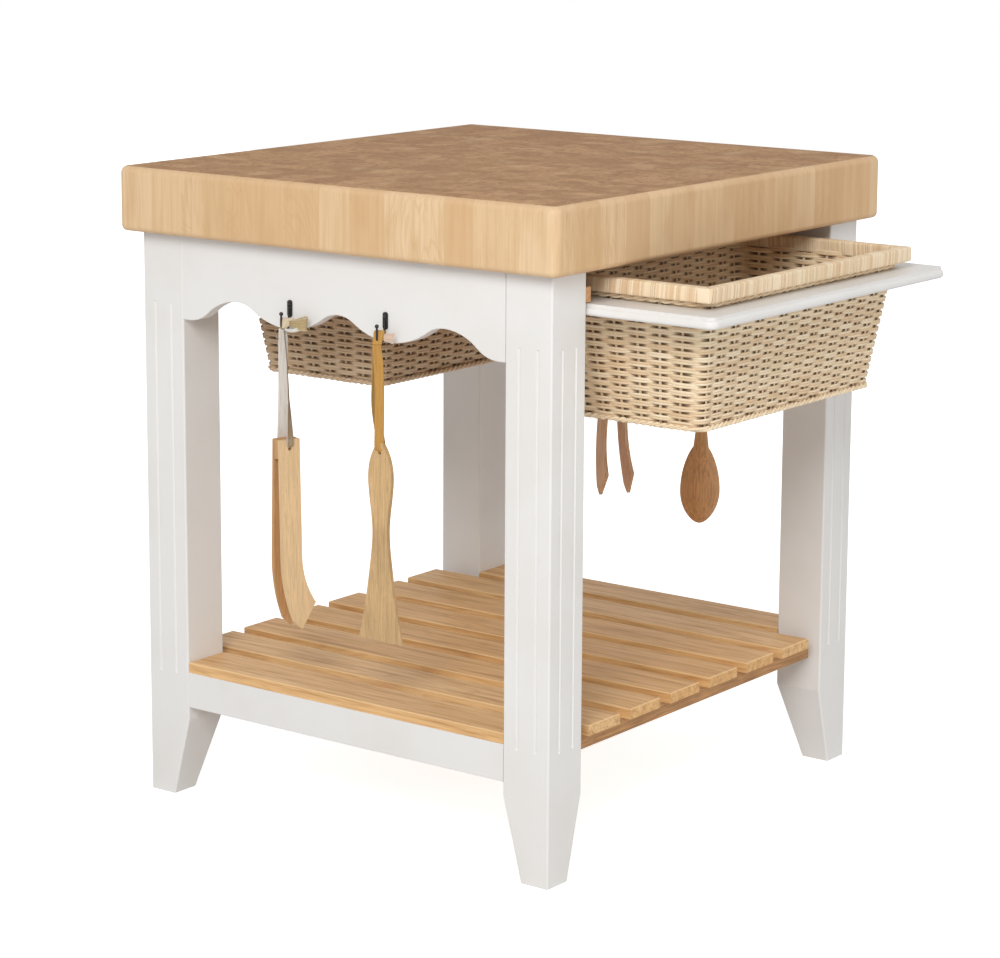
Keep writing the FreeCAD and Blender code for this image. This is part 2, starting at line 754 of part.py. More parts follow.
def tongs(hang, splay):
    """Two leaves glued to a wedge at the top, so that they spring apart towards their points."""
    top, half = hook_z - hang, tongs_block_thickness / 2
    spread = half + tongs_block_length * tan(radians(splay))
    far = tongs_leaf(top)
    far.rotate(V(0, 0, top), V(1, 0, 0), splay)
    far.translate(V(0, half, 0))
    foot = top - tongs_block_length
    profile = [(-half, top), (half, top), (spread, foot), (-spread, foot)]
    wedge = prism(polygon([V(-leaf_width / 2, y, z) for y, z in profile]), V(leaf_width, 0, 0))
    hole = hanging_hole(top, tongs_thickness(splay))
    return {"near_leaf": mirrored_y(far).cut(hole), "far_leaf": far.cut(hole), "wedge": wedge.cut(hole)}


def spoon_barrel(half_width, below, above, depth):
    """A barrel round an upright axis: at this depth its cut face is as wide and as long as asked."""
    across = (half_width ** 2 + depth ** 2) / (2 * depth)
    widest = V(across, 0, 0)
    edges, tips = [], []
    for side, length in ((-1, below), (1, above)):
        radius = (length ** 2 + depth ** 2) / (2 * depth)
        turn = acos((radius - across) / radius)

        def on_side(angle):
            return V(across - radius + radius * cos(angle), 0, side * radius * sin(angle))

        tips.append(V(0, 0, side * radius * sin(turn)))
        edges.append(Part.Arc(widest, on_side(turn / 2), tips[-1]).toShape())
    edges.append(Part.makeLine(*tips))
    barrel = Part.Face(Part.Wire(Part.sortEdges(edges)[0])).revolve(origin, up, 360)
    return barrel.translated(V(0, depth - across, 0))


def spoon_handle(top, middle):
    """One smooth body of oval sections: the handle and the neck that widens into the bowl."""
    handle = spoon_handle_radius
    half_way, half = (top - middle + spoon_neck_rise) / 2, (handle + spoon_neck_half) / 2
    sections = [(top - middle, handle, handle, 0), (half_way, half, half, 0),
                (spoon_neck_rise, spoon_neck_half, spoon_neck_deep, 0),
                (spoon_flare_rise, spoon_flare_half, spoon_flare_deep, spoon_flare_forward),
                (spoon_root_rise, spoon_root_half, spoon_root_deep, spoon_root_forward)]
    ovals = [Part.Ellipse(V(0, -forward, middle + rise), wide, deep).toShape()
             for rise, wide, deep, forward in sections]
    return Part.makeLoft([Part.Wire([oval]) for oval in ovals], True)


def spoon():
    """A handle with a domed head that widens into a bowl, hollowed on its front."""
    top, half, below = hook_z - spoon_hang, spoon_bowl_width / 2, spoon_bowl_below
    wall, depth = spoon_bowl_wall, spoon_bowl_depth
    middle = top - spoon_length + below
    place, far = V(0, -depth / 2, middle), spoon_length
    front = box(-far, far, -far, 0, -far, far)
    bowl = spoon_barrel(half, below, spoon_bowl_above, depth).cut(front).translated(place)
    hollow = spoon_barrel(half - wall, below - wall, spoon_hollow_above, depth - wall)
    body = bowl.fuse(spoon_handle(top, middle)).cut(hollow.translated(place))
    body = body.fuse(Part.makeSphere(spoon_head_radius, V(0, 0, top)))
    return body.cut(hanging_hole(top, 2 * spoon_handle_radius)).removeSplitter()


# ---- the whole cart --------------------------------------------------------------------------------
def hung(shape, x, side, turn=0.0):
    """A piece made on the line X = 0, Y = 0, turned and moved to a hook in front (-1) or behind (1)."""
    return shape.rotated(origin, up, turn).translated(V(x, side * hook_y, 0))


def save_frame():
    """The top, the legs and all that joins them."""
    save(butcher_block_top(), "butcher_block_top")
    leg = front_right_leg()
    save(leg, "leg_front_right")
    save(mirrored_x(leg), "leg_front_left")
    save(mirrored_y(leg), "leg_back_right")
    save(mirrored_x(mirrored_y(leg)), "leg_back_left")
    boards = {"scalloped_apron": front_apron(), "lower_rail": front_lower_rail(),
              "drawer_runner": front_strip(runner_top - runner_height, runner_end_inset),
              "drawer_guide": front_strip(guide_bottom, guide_end_inset)}
    for name, shape in boards.items():
        save(shape, name + "_front")
        save(mirrored_y(shape), name + "_back")
    save(corner_blocks(), "corner_blocks")
    save(top_screws(), "top_screws")
    save(drawer_stop(), "drawer_stop")


def save_shelf():
    """The slats, what carries them and their screws."""
    for index in range(slat_count):
        save(shelf_slat(index), "shelf_slat_" + str(index + 1))
    for number, name in enumerate(("left", "middle", "right")):
        save(slat_bearer(number), "slat_bearer_" + name)
    save(shelf_screws(), "shelf_screws")


def save_drawers():
    """The right drawer pulled out, and its mirror image closed on the left."""
    for name, shape in drawer_pieces().items():
        save(shape.translated(V(drawer_open, 0, 0)), "right_" + name)
        save(mirrored_x(shape), "left_" + name)


def save_hooks():
    """Two hooks on each apron, and the screws that hold them."""
    pairs = {"front": (front_hook(), front_hook_screw())}
    pairs["back"] = [mirrored_y(piece) for piece in pairs["front"]]
    screws = []
    for end, (hook, hook_screw) in pairs.items():
        for hand, x in (("left", -hook_x), ("right", hook_x)):
            save(hook.translated(V(x, 0, 0)), "hook_" + end + "_" + hand)
            screws.append(hook_screw.translated(V(x, 0, 0)))
    save(Part.makeCompound(screws), "hook_screws")


def save_tongs(name, side, hang, turn, splay):
    """The four pieces of one pair of tongs, on a left hook."""
    for piece, shape in tongs(hang, splay).items():
        save(hung(shape, -hook_x, side, turn), name + "_" + piece)
    save(hung(strap(hang, tongs_thickness(splay), turn), -hook_x, side), name + "_strap")


def save_utensils():
    """The tongs on the left hooks, and the spatula and the spoon on the right ones."""
    save_tongs("front_tongs", -1, front_tongs_hang, front_tongs_turn, front_tongs_splay)
    save_tongs("back_tongs", 1, back_tongs_hang, back_tongs_turn, back_tongs_splay)
    save(hung(spatula(), hook_x, -1), "spatula")
    save(hung(strap(spatula_hang, spatula_thickness, 0), hook_x, -1), "spatula_strap")
    save(hung(spoon(), hook_x, 1, spoon_turn), "spoon")
    save(hung(strap(spoon_hang, 2 * spoon_handle_radius, spoon_turn), hook_x, 1), "spoon_strap")


os.makedirs("parts", exist_ok=True)
save_frame()
save_shelf()
save_drawers()
save_hooks()
save_utensils()
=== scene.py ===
"""The looks of a kitchen island cart, laid out as an add-on: finishes for its wooden frame, woven
baskets, ribbons on its utensils, and a plain studio. Lengths are in metres."""

import json
from math import cos, pi, radians, sin

import bpy
import numpy as np
from mathutils import Matrix, Vector


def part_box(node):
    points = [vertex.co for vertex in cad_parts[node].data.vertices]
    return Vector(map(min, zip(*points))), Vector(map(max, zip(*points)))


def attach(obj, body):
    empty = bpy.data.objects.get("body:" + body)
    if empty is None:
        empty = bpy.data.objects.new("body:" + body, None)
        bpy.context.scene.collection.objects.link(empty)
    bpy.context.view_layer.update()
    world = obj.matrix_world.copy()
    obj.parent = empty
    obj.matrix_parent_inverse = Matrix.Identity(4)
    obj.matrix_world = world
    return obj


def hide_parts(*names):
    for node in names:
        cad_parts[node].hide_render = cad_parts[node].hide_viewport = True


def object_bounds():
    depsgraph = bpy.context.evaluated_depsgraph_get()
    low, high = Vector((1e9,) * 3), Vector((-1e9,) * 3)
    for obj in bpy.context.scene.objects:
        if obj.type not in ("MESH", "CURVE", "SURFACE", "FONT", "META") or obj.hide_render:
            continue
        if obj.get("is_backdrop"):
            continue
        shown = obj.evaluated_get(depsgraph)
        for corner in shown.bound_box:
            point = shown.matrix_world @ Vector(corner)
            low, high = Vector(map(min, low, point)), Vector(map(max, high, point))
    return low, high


bl_info = {
    "name": "Kitchen Island Cart",
    "version": (1, 0, 0),
    "blender": (4, 5, 0),
    "location": "3D View > Sidebar > Cart",
    "description": "Wood, paint, cane and ribbon finishes for a kitchen island cart",
    "category": "Object",
}

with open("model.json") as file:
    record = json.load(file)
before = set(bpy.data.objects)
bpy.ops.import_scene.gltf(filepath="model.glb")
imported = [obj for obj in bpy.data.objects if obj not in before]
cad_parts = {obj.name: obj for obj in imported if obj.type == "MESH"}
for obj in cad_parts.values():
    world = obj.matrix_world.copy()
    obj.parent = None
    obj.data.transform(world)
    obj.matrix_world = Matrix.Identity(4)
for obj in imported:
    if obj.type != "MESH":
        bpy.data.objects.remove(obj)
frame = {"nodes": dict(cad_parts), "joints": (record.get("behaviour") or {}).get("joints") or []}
CAD_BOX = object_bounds()


# ---- values that a user would change ---------------------------------------------------------
def tint(red, green, blue):
    """A display colour, given from 0 to 255, as the linear colour that Blender stores."""
    display = np.array([red, green, blue]) / 255
    linear = np.where(display > 0.04045, ((display + 0.055) / 1.055) ** 2.4, display / 12.92)
    return tuple(float(part) for part in linear)


def colour(name, description, default):
    return bpy.props.FloatVectorProperty(name=name, description=description, subtype="COLOR", size=3,
                                         min=0, max=1, default=default)


def length(name, description, default):
    return bpy.props.FloatProperty(name=name, description=description, default=default, min=0,
                                   unit="LENGTH", subtype="DISTANCE")


def place(name, description, default):
    return bpy.props.FloatProperty(name=name, description=description, default=default, unit="LENGTH",
                                   subtype="DISTANCE")


def angle(name, description, default):
    return bpy.props.FloatProperty(name=name, description=description, default=radians(default),
                                   subtype="ANGLE")


def factor(name, description, default):
    return bpy.props.FloatProperty(name=name, description=description, default=default,
                                   subtype="FACTOR", min=-1, max=1)


class CartColours(bpy.types.PropertyGroup):
    """Colours of the finishes."""
    paint: colour("Paint", "Satin paint on the frame and the trays", tint(234, 232, 229))
    stave: colour("Stave", "Middle tone of the butcher block's sides", tint(226, 192, 150))
    stave_dark: colour("Dark stave", "Darkest staves of the butcher block", tint(206, 166, 120))
    stave_light: colour("Light stave", "Palest staves", tint(238, 214, 178))
    # Painted light: the tone laid on the block's rounded edges, a highlight along the top and a little
    # shade on the upright corners.
    stave_edge_painted_light: colour("Edge", "Rounded edges of the butcher block", tint(222, 186, 148))
    end_grain: colour("End grain", "Middle tone of the worktop", tint(194, 151, 110))
    end_grain_dark: colour("Dark end grain", "Darkest blocks of the worktop", tint(148, 108, 74))
    oak: colour("Oak", "Middle tone of the shelf slats", tint(230, 182, 122))
    oak_dark: colour("Dark oak", "Grain lines and knots of the shelf slats", tint(172, 120, 68))
    # Pale grain of the slats, and also a painted highlight on their rounded edges.
    oak_pale_and_edge_highlight: colour("Oak edge", "Rounded edges of the shelf slats", tint(244, 208, 158))
    bearer: colour("Bearer", "Oak boards under the slats", tint(196, 148, 100))
    beech: colour("Beech", "Unpainted runners", tint(222, 172, 122))
    cane: colour("Cane", "Palest cane of the baskets", tint(250, 232, 202))
    cane_dark: colour("Dark cane", "Darkest cane of the baskets", tint(222, 190, 150))
    cane_green: colour("Green cane", "Cane that was cut young", tint(232, 218, 180))
    # Painted shade: the dark tone that stands in for the worktop's shade on the left basket's cane.
    cane_aged: colour("Aged cane", "Cane that has darkened with age", tint(150, 104, 66))
    cane_shade: colour("Cane shade", "Gaps between the woven strands", tint(100, 68, 42))
    spatula: colour("Spatula", "Bare wood of the spatula", tint(208, 172, 124))
    near_leaf: colour("Near leaf", "Pale wood of the nearer tongs", tint(232, 198, 152))
    far_leaf: colour("Far leaf", "Darker wood of their other leaf", tint(206, 158, 108))
    back_tongs: colour("Back tongs", "Tan wood of the further tongs", tint(232, 188, 150))
    spoon: colour("Spoon", "Tan wood of the spoon", tint(222, 168, 116))
    ribbon: colour("Ribbon", "Light cotton ribbon", tint(224, 217, 208))
    ribbon_back: colour("Ribbon back", "Shaded side of the ribbon", tint(176, 154, 124))
    ribbon_knot: colour("Knot", "Cream knot and bow of the ribbon", tint(224, 205, 175))
    ribbon_lining: colour("Bow lining", "Olive tan inside of the bow", tint(186, 164, 122))
    lace: colour("Lace", "Ochre lace of the spatula", tint(198, 150, 81))
    lace_back: colour("Lace back", "Darker side of the lace", tint(160, 126, 76))
    lace_end: colour("Lace end", "Short pale end of the lace", tint(222, 194, 172))
    iron: colour("Iron", "Hooks", tint(56, 54, 54))


class BasketSizes(bpy.types.PropertyGroup):
    """Sizes of the weave."""
    flare: length("Flare", "How much wider each side of a basket is at its rim", 0.027)
    corner: length("Corner radius", "Outer radius of the basket's corners", 0.016)
    wall: length("Wall", "Thickness of the woven wall", 0.006)
    short_pitch: length("Pitch on short sides", "Distance between the stakes of the short sides", 0.034)
    long_pitch: length("Pitch on long sides", "Distance between the stakes of the long sides", 0.029)
    corner_ease: length("Corner ease", "Plain stretch of a short side beside each corner", 0.020)
    row_height: length("Row height", "Height of one row, which is two strands of cane", 0.0053)
    strand: length("Strand", "Thickness of the cane", 0.0020)
    stake: length("Stake", "Width of an upright stake", 0.0046)
    stake_depth: length("Stake depth", "Thickness of an upright stake", 0.0020)
    lap: length("Lap", "How far the weave runs up inside the rim", 0.0045)
    rim_width: length("Rim width", "Width of the wrapped rim", 0.017)
    rim_corner: length("Rim corner", "Outer radius of the rim's corners", 0.006)
    wrap_pitch: length("Wrap pitch", "Width of one turn of cane round the rim", 0.0034)
    fold: length("Fold", "Width of a folded end on the rim", 0.019)
    fold_inset: length("Fold inset", "From the end of the rim to a folded end", 0.0035)
    fold_front: length("Fold front", "How far the middle of a folded end stands out of the rim", 0.0004)
    fold_edge: length("Fold edge", "How far the edge of a folded end lies inside the rim", 0.0004)
    fold_back: length("Fold back", "How far the back of a folded end lies inside the rim", 0.0012)
    foot_twist: length("Foot twist", "Length of one turn of the band round the foot", 0.022)
    foot_radius: length("Foot strand", "Radius of the strands round the foot", 0.0021)
    foot_lift: length("Foot lift", "From the bottom of the basket to the middle of that band", 0.0040)
    foot_inset: length("Foot inset", "How far the middle of that band lies inside its outline", 0.0030)
    neck_twist: length("Neck twist", "Length of one turn of the band under the rim", 0.0352)
    neck_radius: length("Neck strand", "Radius of the strands under the rim", 0.0020)
    neck_drop: length("Neck drop", "From the rim down to the middle of that band", 0.0041)
    neck_stand: length("Neck stand", "How far the middle of that band stands outside the wall", 0.0016)
    floor_lift: length("Floor lift", "From the bottom of the basket to the middle of its floor", 0.0036)
    floor_swing: length("Floor swing", "How far a strand of the floor goes up and down", 0.0014)


class RibbonSizes(bpy.types.PropertyGroup):
    """Sizes of the ribbons that the utensils hang from."""
    width: length("Width", "Width of a flat ribbon", 0.013)
    thickness: length("Thickness", "Thickness of a ribbon", 0.0007)
    gathered: length("Gathered width", "Width of a ribbon where it goes through a hole", 0.0048)
    hole_inset: length("Hole inset", "Hole of a utensil below its top", 0.013)
    bow: length("Bow", "Length of a bow's loop", 0.028)
    knot_depth: length("Knot depth", "Half the thickness of a knot", 0.0046)


class StageSizes(bpy.types.PropertyGroup):
    """The camera, the floor and the even light."""
    lens: length("Focal length", "Focal length of the camera", 0.108723)
    distance: length("Distance", "From the camera to the upright line it looks at", 4.40625)
    azimuth: angle("Azimuth", "How far the camera stands round to the right", 36.937)
    elevation: angle("Elevation", "How far the camera stands above its aim", 10.631)
    roll: angle("Roll", "How far the camera is turned about its own axis", 0.303)
    aim_side: place("Aim to the right", "Aim beside the middle of the cart", -0.00938)
    aim_height: place("Aim height", "Aim above the floor", 0.56291)
    shift: factor("Shift", "How far the view is moved up, as a share of its width", -0.079)
    floor: length("Floor", "Radius of the floor", 9.0)
    floor_near: factor("Floor near", "What the camera sees added to the floor under the cart", 0.76)
    floor_far: factor("Floor far", "What the camera sees added to the floor all round", 0.95)
    ambient: factor("Even light", "Strength of the even light on the cart", 0.47)


# ---- shader nodes ----------------------------------------------------------------------------
def shaded(tone, share):
    """A tone made darker or lighter by one share, or by one for each channel."""
    return np.minimum(np.array(tone) * share, 1)


class Finish:
    """A material on the Principled shader, with short calls that add and link its nodes."""

    def __init__(self, name, roughness, **fixed):
        self.material = bpy.data.materials.new(name)
        self.material.use_nodes = True
        self.tree = self.material.node_tree
        self.shader = self.tree.nodes["Principled BSDF"]
        for socket, value in {"Roughness": roughness, **fixed}.items():
            self.shader.inputs[socket.replace("_", " ")].default_value = value
        self.place = self.add("TexCoord").outputs["Object"]

    def feed(self, socket, value):
        if isinstance(value, bpy.types.NodeSocket):
            self.tree.links.new(value, socket)
        elif hasattr(value, "__len__") and socket.type == "RGBA":
            socket.default_value = (*value[:3], 1)
        else:
            socket.default_value = value

    def add(self, kind, settings=(), **inputs):
        node = self.tree.nodes.new("ShaderNode" + kind)
        for name, value in dict(settings).items():
            setattr(node, name, value)
        for name, value in inputs.items():
            self.feed(node.inputs[name.replace("_", " ")], value)
        return node

    def math(self, operation, first, second=0.0):
        node = self.add("Math", {"operation": operation})
        self.feed(node.inputs[0], first)
        self.feed(node.inputs[1], second)
        return node.outputs[0]

    def plus(self, first, second):
        return self.math("ADD", first, second)

    def times(self, first, second):
        return self.math("MULTIPLY", first, second)

    def waves(self, value, rate):
        """A sine of a value."""
        return self.math("SINE", self.times(value, rate))

    def split(self, vector):
        return self.add("SeparateXYZ", Vector=vector).outputs[:3]

    def join(self, x=0.0, y=0.0, z=0.0):
        return self.add("CombineXYZ", X=x, Y=y, Z=z).outputs[0]

    def stretch(self, x, y, z, vector=None):
        """The place on the piece with each axis scaled."""
        node = self.add("Mapping", Vector=vector or self.place)
        node.inputs["Scale"].default_value = (x, y, z)
        return node.outputs[0]

    def drawn(self, axis, share):
        """The place on the piece drawn out along one axis."""
        return self.stretch(*[share if name == axis else 1 for name in "xyz"])

    def noise(self, vector, scale, detail=2.0, roughness=0.5, distortion=0.0):
        return self.add("TexNoise", Vector=vector, Scale=scale, Detail=detail, Roughness=roughness,
                        Distortion=distortion).outputs["Fac"]

    def ramp(self, value, low, high, start=0.0, end=1.0):
        """A smooth step from start, where the value is low, to end, where it is high."""
        node = self.add("MapRange", {"interpolation_type": "SMOOTHSTEP"})
        for name, number in zip(("Value", "From Min", "From Max", "To Min", "To Max"),
                                (value, low, high, start, end)):
            self.feed(node.inputs[name], number)
        return node.outputs[0]

    def mix(self, share, first, second):
        node = self.add("Mix", {"data_type": "RGBA"})
        for socket, value in zip((0, 6, 7), (share, first, second)):
            self.feed(node.inputs[socket], value)
        return node.outputs[2]

    def layers(self, base, *layers):
        """Lays tones over a base. Each layer is a tone, the value that it follows, where that value
        brings none of it and all of it, and how much of it that is."""
        for tone, guide, none, full, amount in layers:
            base = self.mix(self.ramp(guide, none, full, 0, amount), base, tone)
        return base

    def attribute(self, name):
        return self.add("Attribute", {"attribute_name": name}).outputs["Fac"]

    def rough(self, grain, low, high):
        """A roughness from low to high that follows a grain."""
        return self.ramp(grain, 0.3, 0.7, low, high)

    def done(self, tone, roughness=None, height=None, strength=0.0, distance=0.0):
        """Feeds the shader a colour, a roughness and a bump, and gives the material."""
        self.feed(self.shader.inputs["Base Color"], tone)
        if roughness is not None:
            self.feed(self.shader.inputs["Roughness"], roughness)
        if height is not None:
            bump = self.add("Bump", Height=height, Strength=strength, Distance=distance)
            self.feed(self.shader.inputs["Normal"], bump.outputs["Normal"])
        return self.material


def painted_wood(colours, grain):
    """Satin paint with faint brush marks along the board and a little unevenness in its tone."""
    finish = Finish("satin_paint_" + grain, 0.42, Specular_IOR_Level=0.4)
    strokes = finish.noise(finish.drawn(grain, 0.06), 900, 3, 0.6)
    cloud = finish.noise(finish.place, 7, 3)
    ripples = finish.noise(finish.place, 40, 2)
    warm = shaded(colours.paint, (0.93, 0.91, 0.88))
    paint = finish.layers(colours.paint, (warm, cloud, 0.42, 0.72, 0.5))
    return finish.done(paint, finish.rough(strokes, 0.36, 0.5),
                       finish.plus(strokes, finish.times(ripples, 2.0)), 0.25, 0.0004)


def butcher_block(colours):
    """Upright staves of varied width on the sides, small end-grain blocks on top, and painted light and
    shade on the rounded edges.
    """
    finish = Finish("butcher_block", 0.5, Specular_IOR_Level=0.2)
    x, y, z = finish.split(finish.place)
    normal = finish.add("NewGeometry").outputs["Normal"]
    across, along, upward = [finish.math("ABSOLUTE", part) for part in finish.split(normal)]
    on_end = finish.math("GREATER_THAN", across, along)
    run = finish.plus(finish.times(y, on_end), finish.times(x, finish.math("SUBTRACT", 1.0, on_end)))
    run = finish.plus(run, finish.times(on_end, 7.3))
    staves = finish.add("TexVoronoi", {"voronoi_dimensions": "1D", "feature": "F1"}, W=run, Scale=19.0,
                        Randomness=0.85)
    pick, shift, kind = finish.add("SeparateColor", Color=staves.outputs["Color"]).outputs
    drift = finish.times(shift, 9.0)
    moved = finish.join(finish.plus(x, drift), finish.plus(y, drift), z)
    fibres = finish.noise(finish.stretch(1, 1, 0.02, moved), 420, 5, 0.6, 0.3)
    streaks = finish.noise(finish.stretch(1, 1, 0.05, moved), 90, 3, 0.55, 0.4)
    figure = finish.noise(finish.stretch(1, 1, 0.3, moved), 17, 2, 0.4, 1.2)
    cloud = finish.noise(finish.stretch(1, 1, 0.4, moved), 24, 3, 0.5)
    rings = finish.waves(figure, 90.0)
    dark, light = colours.stave_dark, colours.stave_light
    side = finish.mix(finish.ramp(pick, 0.05, 0.95), dark, light)
    side = finish.layers(finish.mix(0.6, side, colours.stave), (dark, cloud, 0.45, 0.75, 0.5),
                         (dark, streaks, 0.45, 0.75, 0.45), (light, streaks, 0.42, 0.25, 0.25),
                         (dark, fibres, 0.4, 0.75, 0.4))
    arched = finish.ramp(kind, 0.55, 0.75)
    side = finish.mix(finish.times(finish.ramp(rings, 0.3, 1.0, 0, 0.3), arched), side, dark)

    blocks = finish.add("TexVoronoi", {"voronoi_dimensions": "2D", "distance": "CHEBYCHEV"},
                        Vector=finish.stretch(1, 1.5, 1), Scale=22.0, Randomness=0.5)
    block = finish.add("SeparateColor", Color=blocks.outputs["Color"]).outputs["Red"]
    pores = finish.noise(finish.stretch(1, 1.3, 1), 110, 4, 0.62, 0.5)
    patches = finish.noise(finish.stretch(1, 0.6, 1), 26, 3, 0.55, 0.4)
    dark = colours.end_grain_dark
    top = finish.layers(colours.end_grain, (dark, block, 0.05, 0.95, 0.5),
                        (dark, pores, 0.45, 0.68, 0.75), (colours.stave, patches, 0.5, 0.72, 0.3))

    faces_up = finish.ramp(upward, 0.9, 0.97)
    # Painted light and shade: the rounded edges, found by which way they face, are mixed towards the
    # edge tone.
    slope = finish.times(finish.ramp(upward, 0.05, 0.4), finish.ramp(upward, 0.99, 0.93))
    bent = finish.times(finish.ramp(across, 0.08, 0.4), finish.ramp(along, 0.08, 0.4))
    edge = finish.times(finish.math("MAXIMUM", slope, bent), 0.3)
    wood = finish.mix(edge, finish.mix(faces_up, side, top), colours.stave_edge_painted_light)
    roughness = finish.plus(finish.rough(fibres, 0.44, 0.6), finish.times(faces_up, 0.2))
    return finish.done(wood, roughness, finish.plus(fibres, finish.times(rings, 0.08)), 0.15, 0.0004)


def oak_slat(colours, pitch, first):
    """Oiled oak with its grain along each slat, a different board in every slat and a painted highlight
    on the rounded edges.
    """
    finish = Finish("oiled_oak", 0.5, Specular_IOR_Level=0.35)
    x, y, z = finish.split(finish.place)
    board = finish.math("ROUND", finish.math("DIVIDE", finish.math("SUBTRACT", y, first), pitch))
    pick = finish.add("TexWhiteNoise", {"noise_dimensions": "3D"}, Vector=finish.join(board, 3.7))
    pick = pick.outputs["Value"]
    moved = finish.join(finish.plus(x, finish.times(pick, 11.0)), y, z)
    fibres = finish.noise(finish.stretch(0.03, 1, 1, moved), 320, 6, 0.62, 0.6)
    figure = finish.noise(finish.stretch(0.08, 1, 1, moved), 22, 3, 0.5, 0.8)
    streaks = finish.noise(finish.stretch(0.06, 1, 1, moved), 95, 4, 0.6, 0.4)
    rings = finish.waves(figure, 70.0)
    knots = finish.add("TexVoronoi", Vector=finish.stretch(0.45, 1, 1, moved), Scale=4.2, Randomness=1.0)
    dark, light = colours.oak_dark, colours.oak_pale_and_edge_highlight
    wood = finish.layers(colours.oak, (light, pick, 0, 1, 0.5), (dark, streaks, 0.45, 0.72, 0.6),
                         (light, streaks, 0.44, 0.28, 0.5), (dark, fibres, 0.42, 0.75, 0.5),
                         (dark, rings, 0.3, 1.0, 0.2),
                         (shaded(dark, 0.6), knots.outputs["Distance"], 0.085, 0.03, 0.8))
    # Painted highlight: the rounded edges, found by which way they face, are mixed towards the pale
    # tone.
    upward = finish.split(finish.add("NewGeometry").outputs["Normal"])[2]
    slope = finish.times(finish.ramp(upward, 0.1, 0.5), finish.ramp(upward, 0.99, 0.9))
    wood = finish.mix(finish.times(slope, 0.7), wood, light)
    return finish.done(wood, finish.rough(fibres, 0.42, 0.6),
                       finish.plus(fibres, finish.times(rings, 0.15)), 0.25, 0.0005)


def plain_wood(name, tone, axis, contrast=0.35, scale=320.0):
    """Bare sanded wood: fine fibres and short flecks along one axis."""
    finish = Finish(name, 0.55, Specular_IOR_Level=0.3)
    fibres = finish.noise(finish.drawn(axis, 0.035), scale, 6, 0.62, 1.2)
    flecks = finish.noise(finish.drawn(axis, 0.2), 700, 2, 0.5)
    cloud = finish.noise(finish.place, 14, 3)
    dark, light = shaded(tone, 1 - contrast), shaded(tone, 1 + 0.5 * contrast)
    wood = finish.layers(tone, (light, cloud, 0.3, 0.7, 1), (dark, fibres, 0.35, 0.7, 0.8),
                         (dark, flecks, 0.6, 0.75, 0.5))
    return finish.done(wood, finish.rough(fibres, 0.48, 0.64), fibres, 0.25, 0.0003)


def woven_cane(name, colours, worktop_shade):
    """Cane whose tone changes from strand to strand, with painted shade where a strand dips behind a
    stake and in the other gaps and creases of the weave, and a painted shade, as much as asked, that
    stands in for the worktop's shade, twice as much at the rim as at the foot."""
    finish = Finish(name, 0.5, Specular_IOR_Level=0.4)
    streaks = finish.noise(finish.place, 300, 3, 0.6)
    cloud = finish.noise(finish.place, 16, 2)
    young = finish.noise(finish.stretch(1, 1, 2), 9, 2)
    share = finish.plus(finish.times(finish.attribute("tone"), 0.8), finish.times(streaks, 0.35))
    cane = finish.layers(colours.cane, (colours.cane_dark, share, 0.1, 1.0, 1),
                         (colours.cane_dark, cloud, 0.45, 0.75, 0.35),
                         (colours.cane_green, young, 0.52, 0.72, 0.3))
    # Painted shade from the worktop above: the cane is darkened by the asked amount at the rim and half
    # that at the foot.
    height = finish.split(finish.place)[2]
    worktop_shade_share = finish.ramp(height, 0.60, 0.71, 0.5 * worktop_shade, worktop_shade)
    # Painted shade in the gaps and creases of the weave, carried by each piece as an attribute, laid
    # over the worktop's painted shade.
    cane = finish.layers(finish.mix(worktop_shade_share, cane, colours.cane_aged),
                         (colours.cane_shade, finish.attribute("recess"), 0.35, 0.95, 0.93))
    return finish.done(cane, finish.rough(streaks, 0.4, 0.6), streaks, 0.2, 0.0003)


def cotton_ribbon(name, tone, edge):
    """A plain weave that follows the ribbon, in the piece's own UV: fine threads across and along
    it, soft folds along it with painted shade in them, and a firmer thread at each edge."""
    finish = Finish(name, 0.85, Specular_IOR_Level=0.2)
    woven = finish.add("TexCoord").outputs["UV"]
    across, along = finish.split(woven)[:2]
    warp, weft = 0.0006, 0.0007
    threads = finish.times(finish.waves(along, 2 * pi / weft), finish.waves(across, 2 * pi / warp))
    folds = finish.noise(finish.stretch(420, 26, 1, woven), 1, 3)
    worn = finish.noise(finish.stretch(120, 60, 1, woven), 1, 2)
    dark = shaded(tone, 0.6)
    # Painted shade: the cloth darkens in its soft folds.
    cloth = finish.layers(tone, (dark, folds, 0.42, 0.75, 0.55), (edge, worn, 0.55, 0.75, 0.3),
                          (dark, threads, 0.1, 1.0, 0.22),
                          (edge, finish.attribute("border"), 0.8, 0.95, 0.75))
    return finish.done(cloth, None, finish.plus(threads, finish.times(folds, 3.0)), 0.4, 0.0002)


def dark_iron(colours):
    """Blackened iron, a little rough, with the metal showing faintly through."""
    finish = Finish("dark_iron", 0.45, Metallic=0.6)
    grain = finish.noise(finish.place, 900, 3, 0.6)
    cloud = finish.noise(finish.place, 120, 2)
    iron = finish.layers(colours.iron, (shaded(colours.iron, 2.6), cloud, 0.55, 0.8, 0.7))
    return finish.done(iron, finish.rough(grain, 0.36, 0.58), grain, 0.3, 0.0003)


def plated_steel():
    """Zinc-plated screws."""
    finish = Finish("plated_steel", 0.35, Metallic=1.0)
    grain = finish.noise(finish.place, 1200, 3)
    steel = finish.layers(tint(150, 150, 152), (tint(188, 188, 190), grain, 0.3, 0.7, 1))
    return finish.done(steel, finish.rough(grain, 0.28, 0.45))


# ---- surfaces --------------------------------------------------------------------------------
UP = np.array([0.0, 0.0, 1.0])


def circle(sides):
    return np.linspace(0, 2 * pi, sides, endpoint=False)


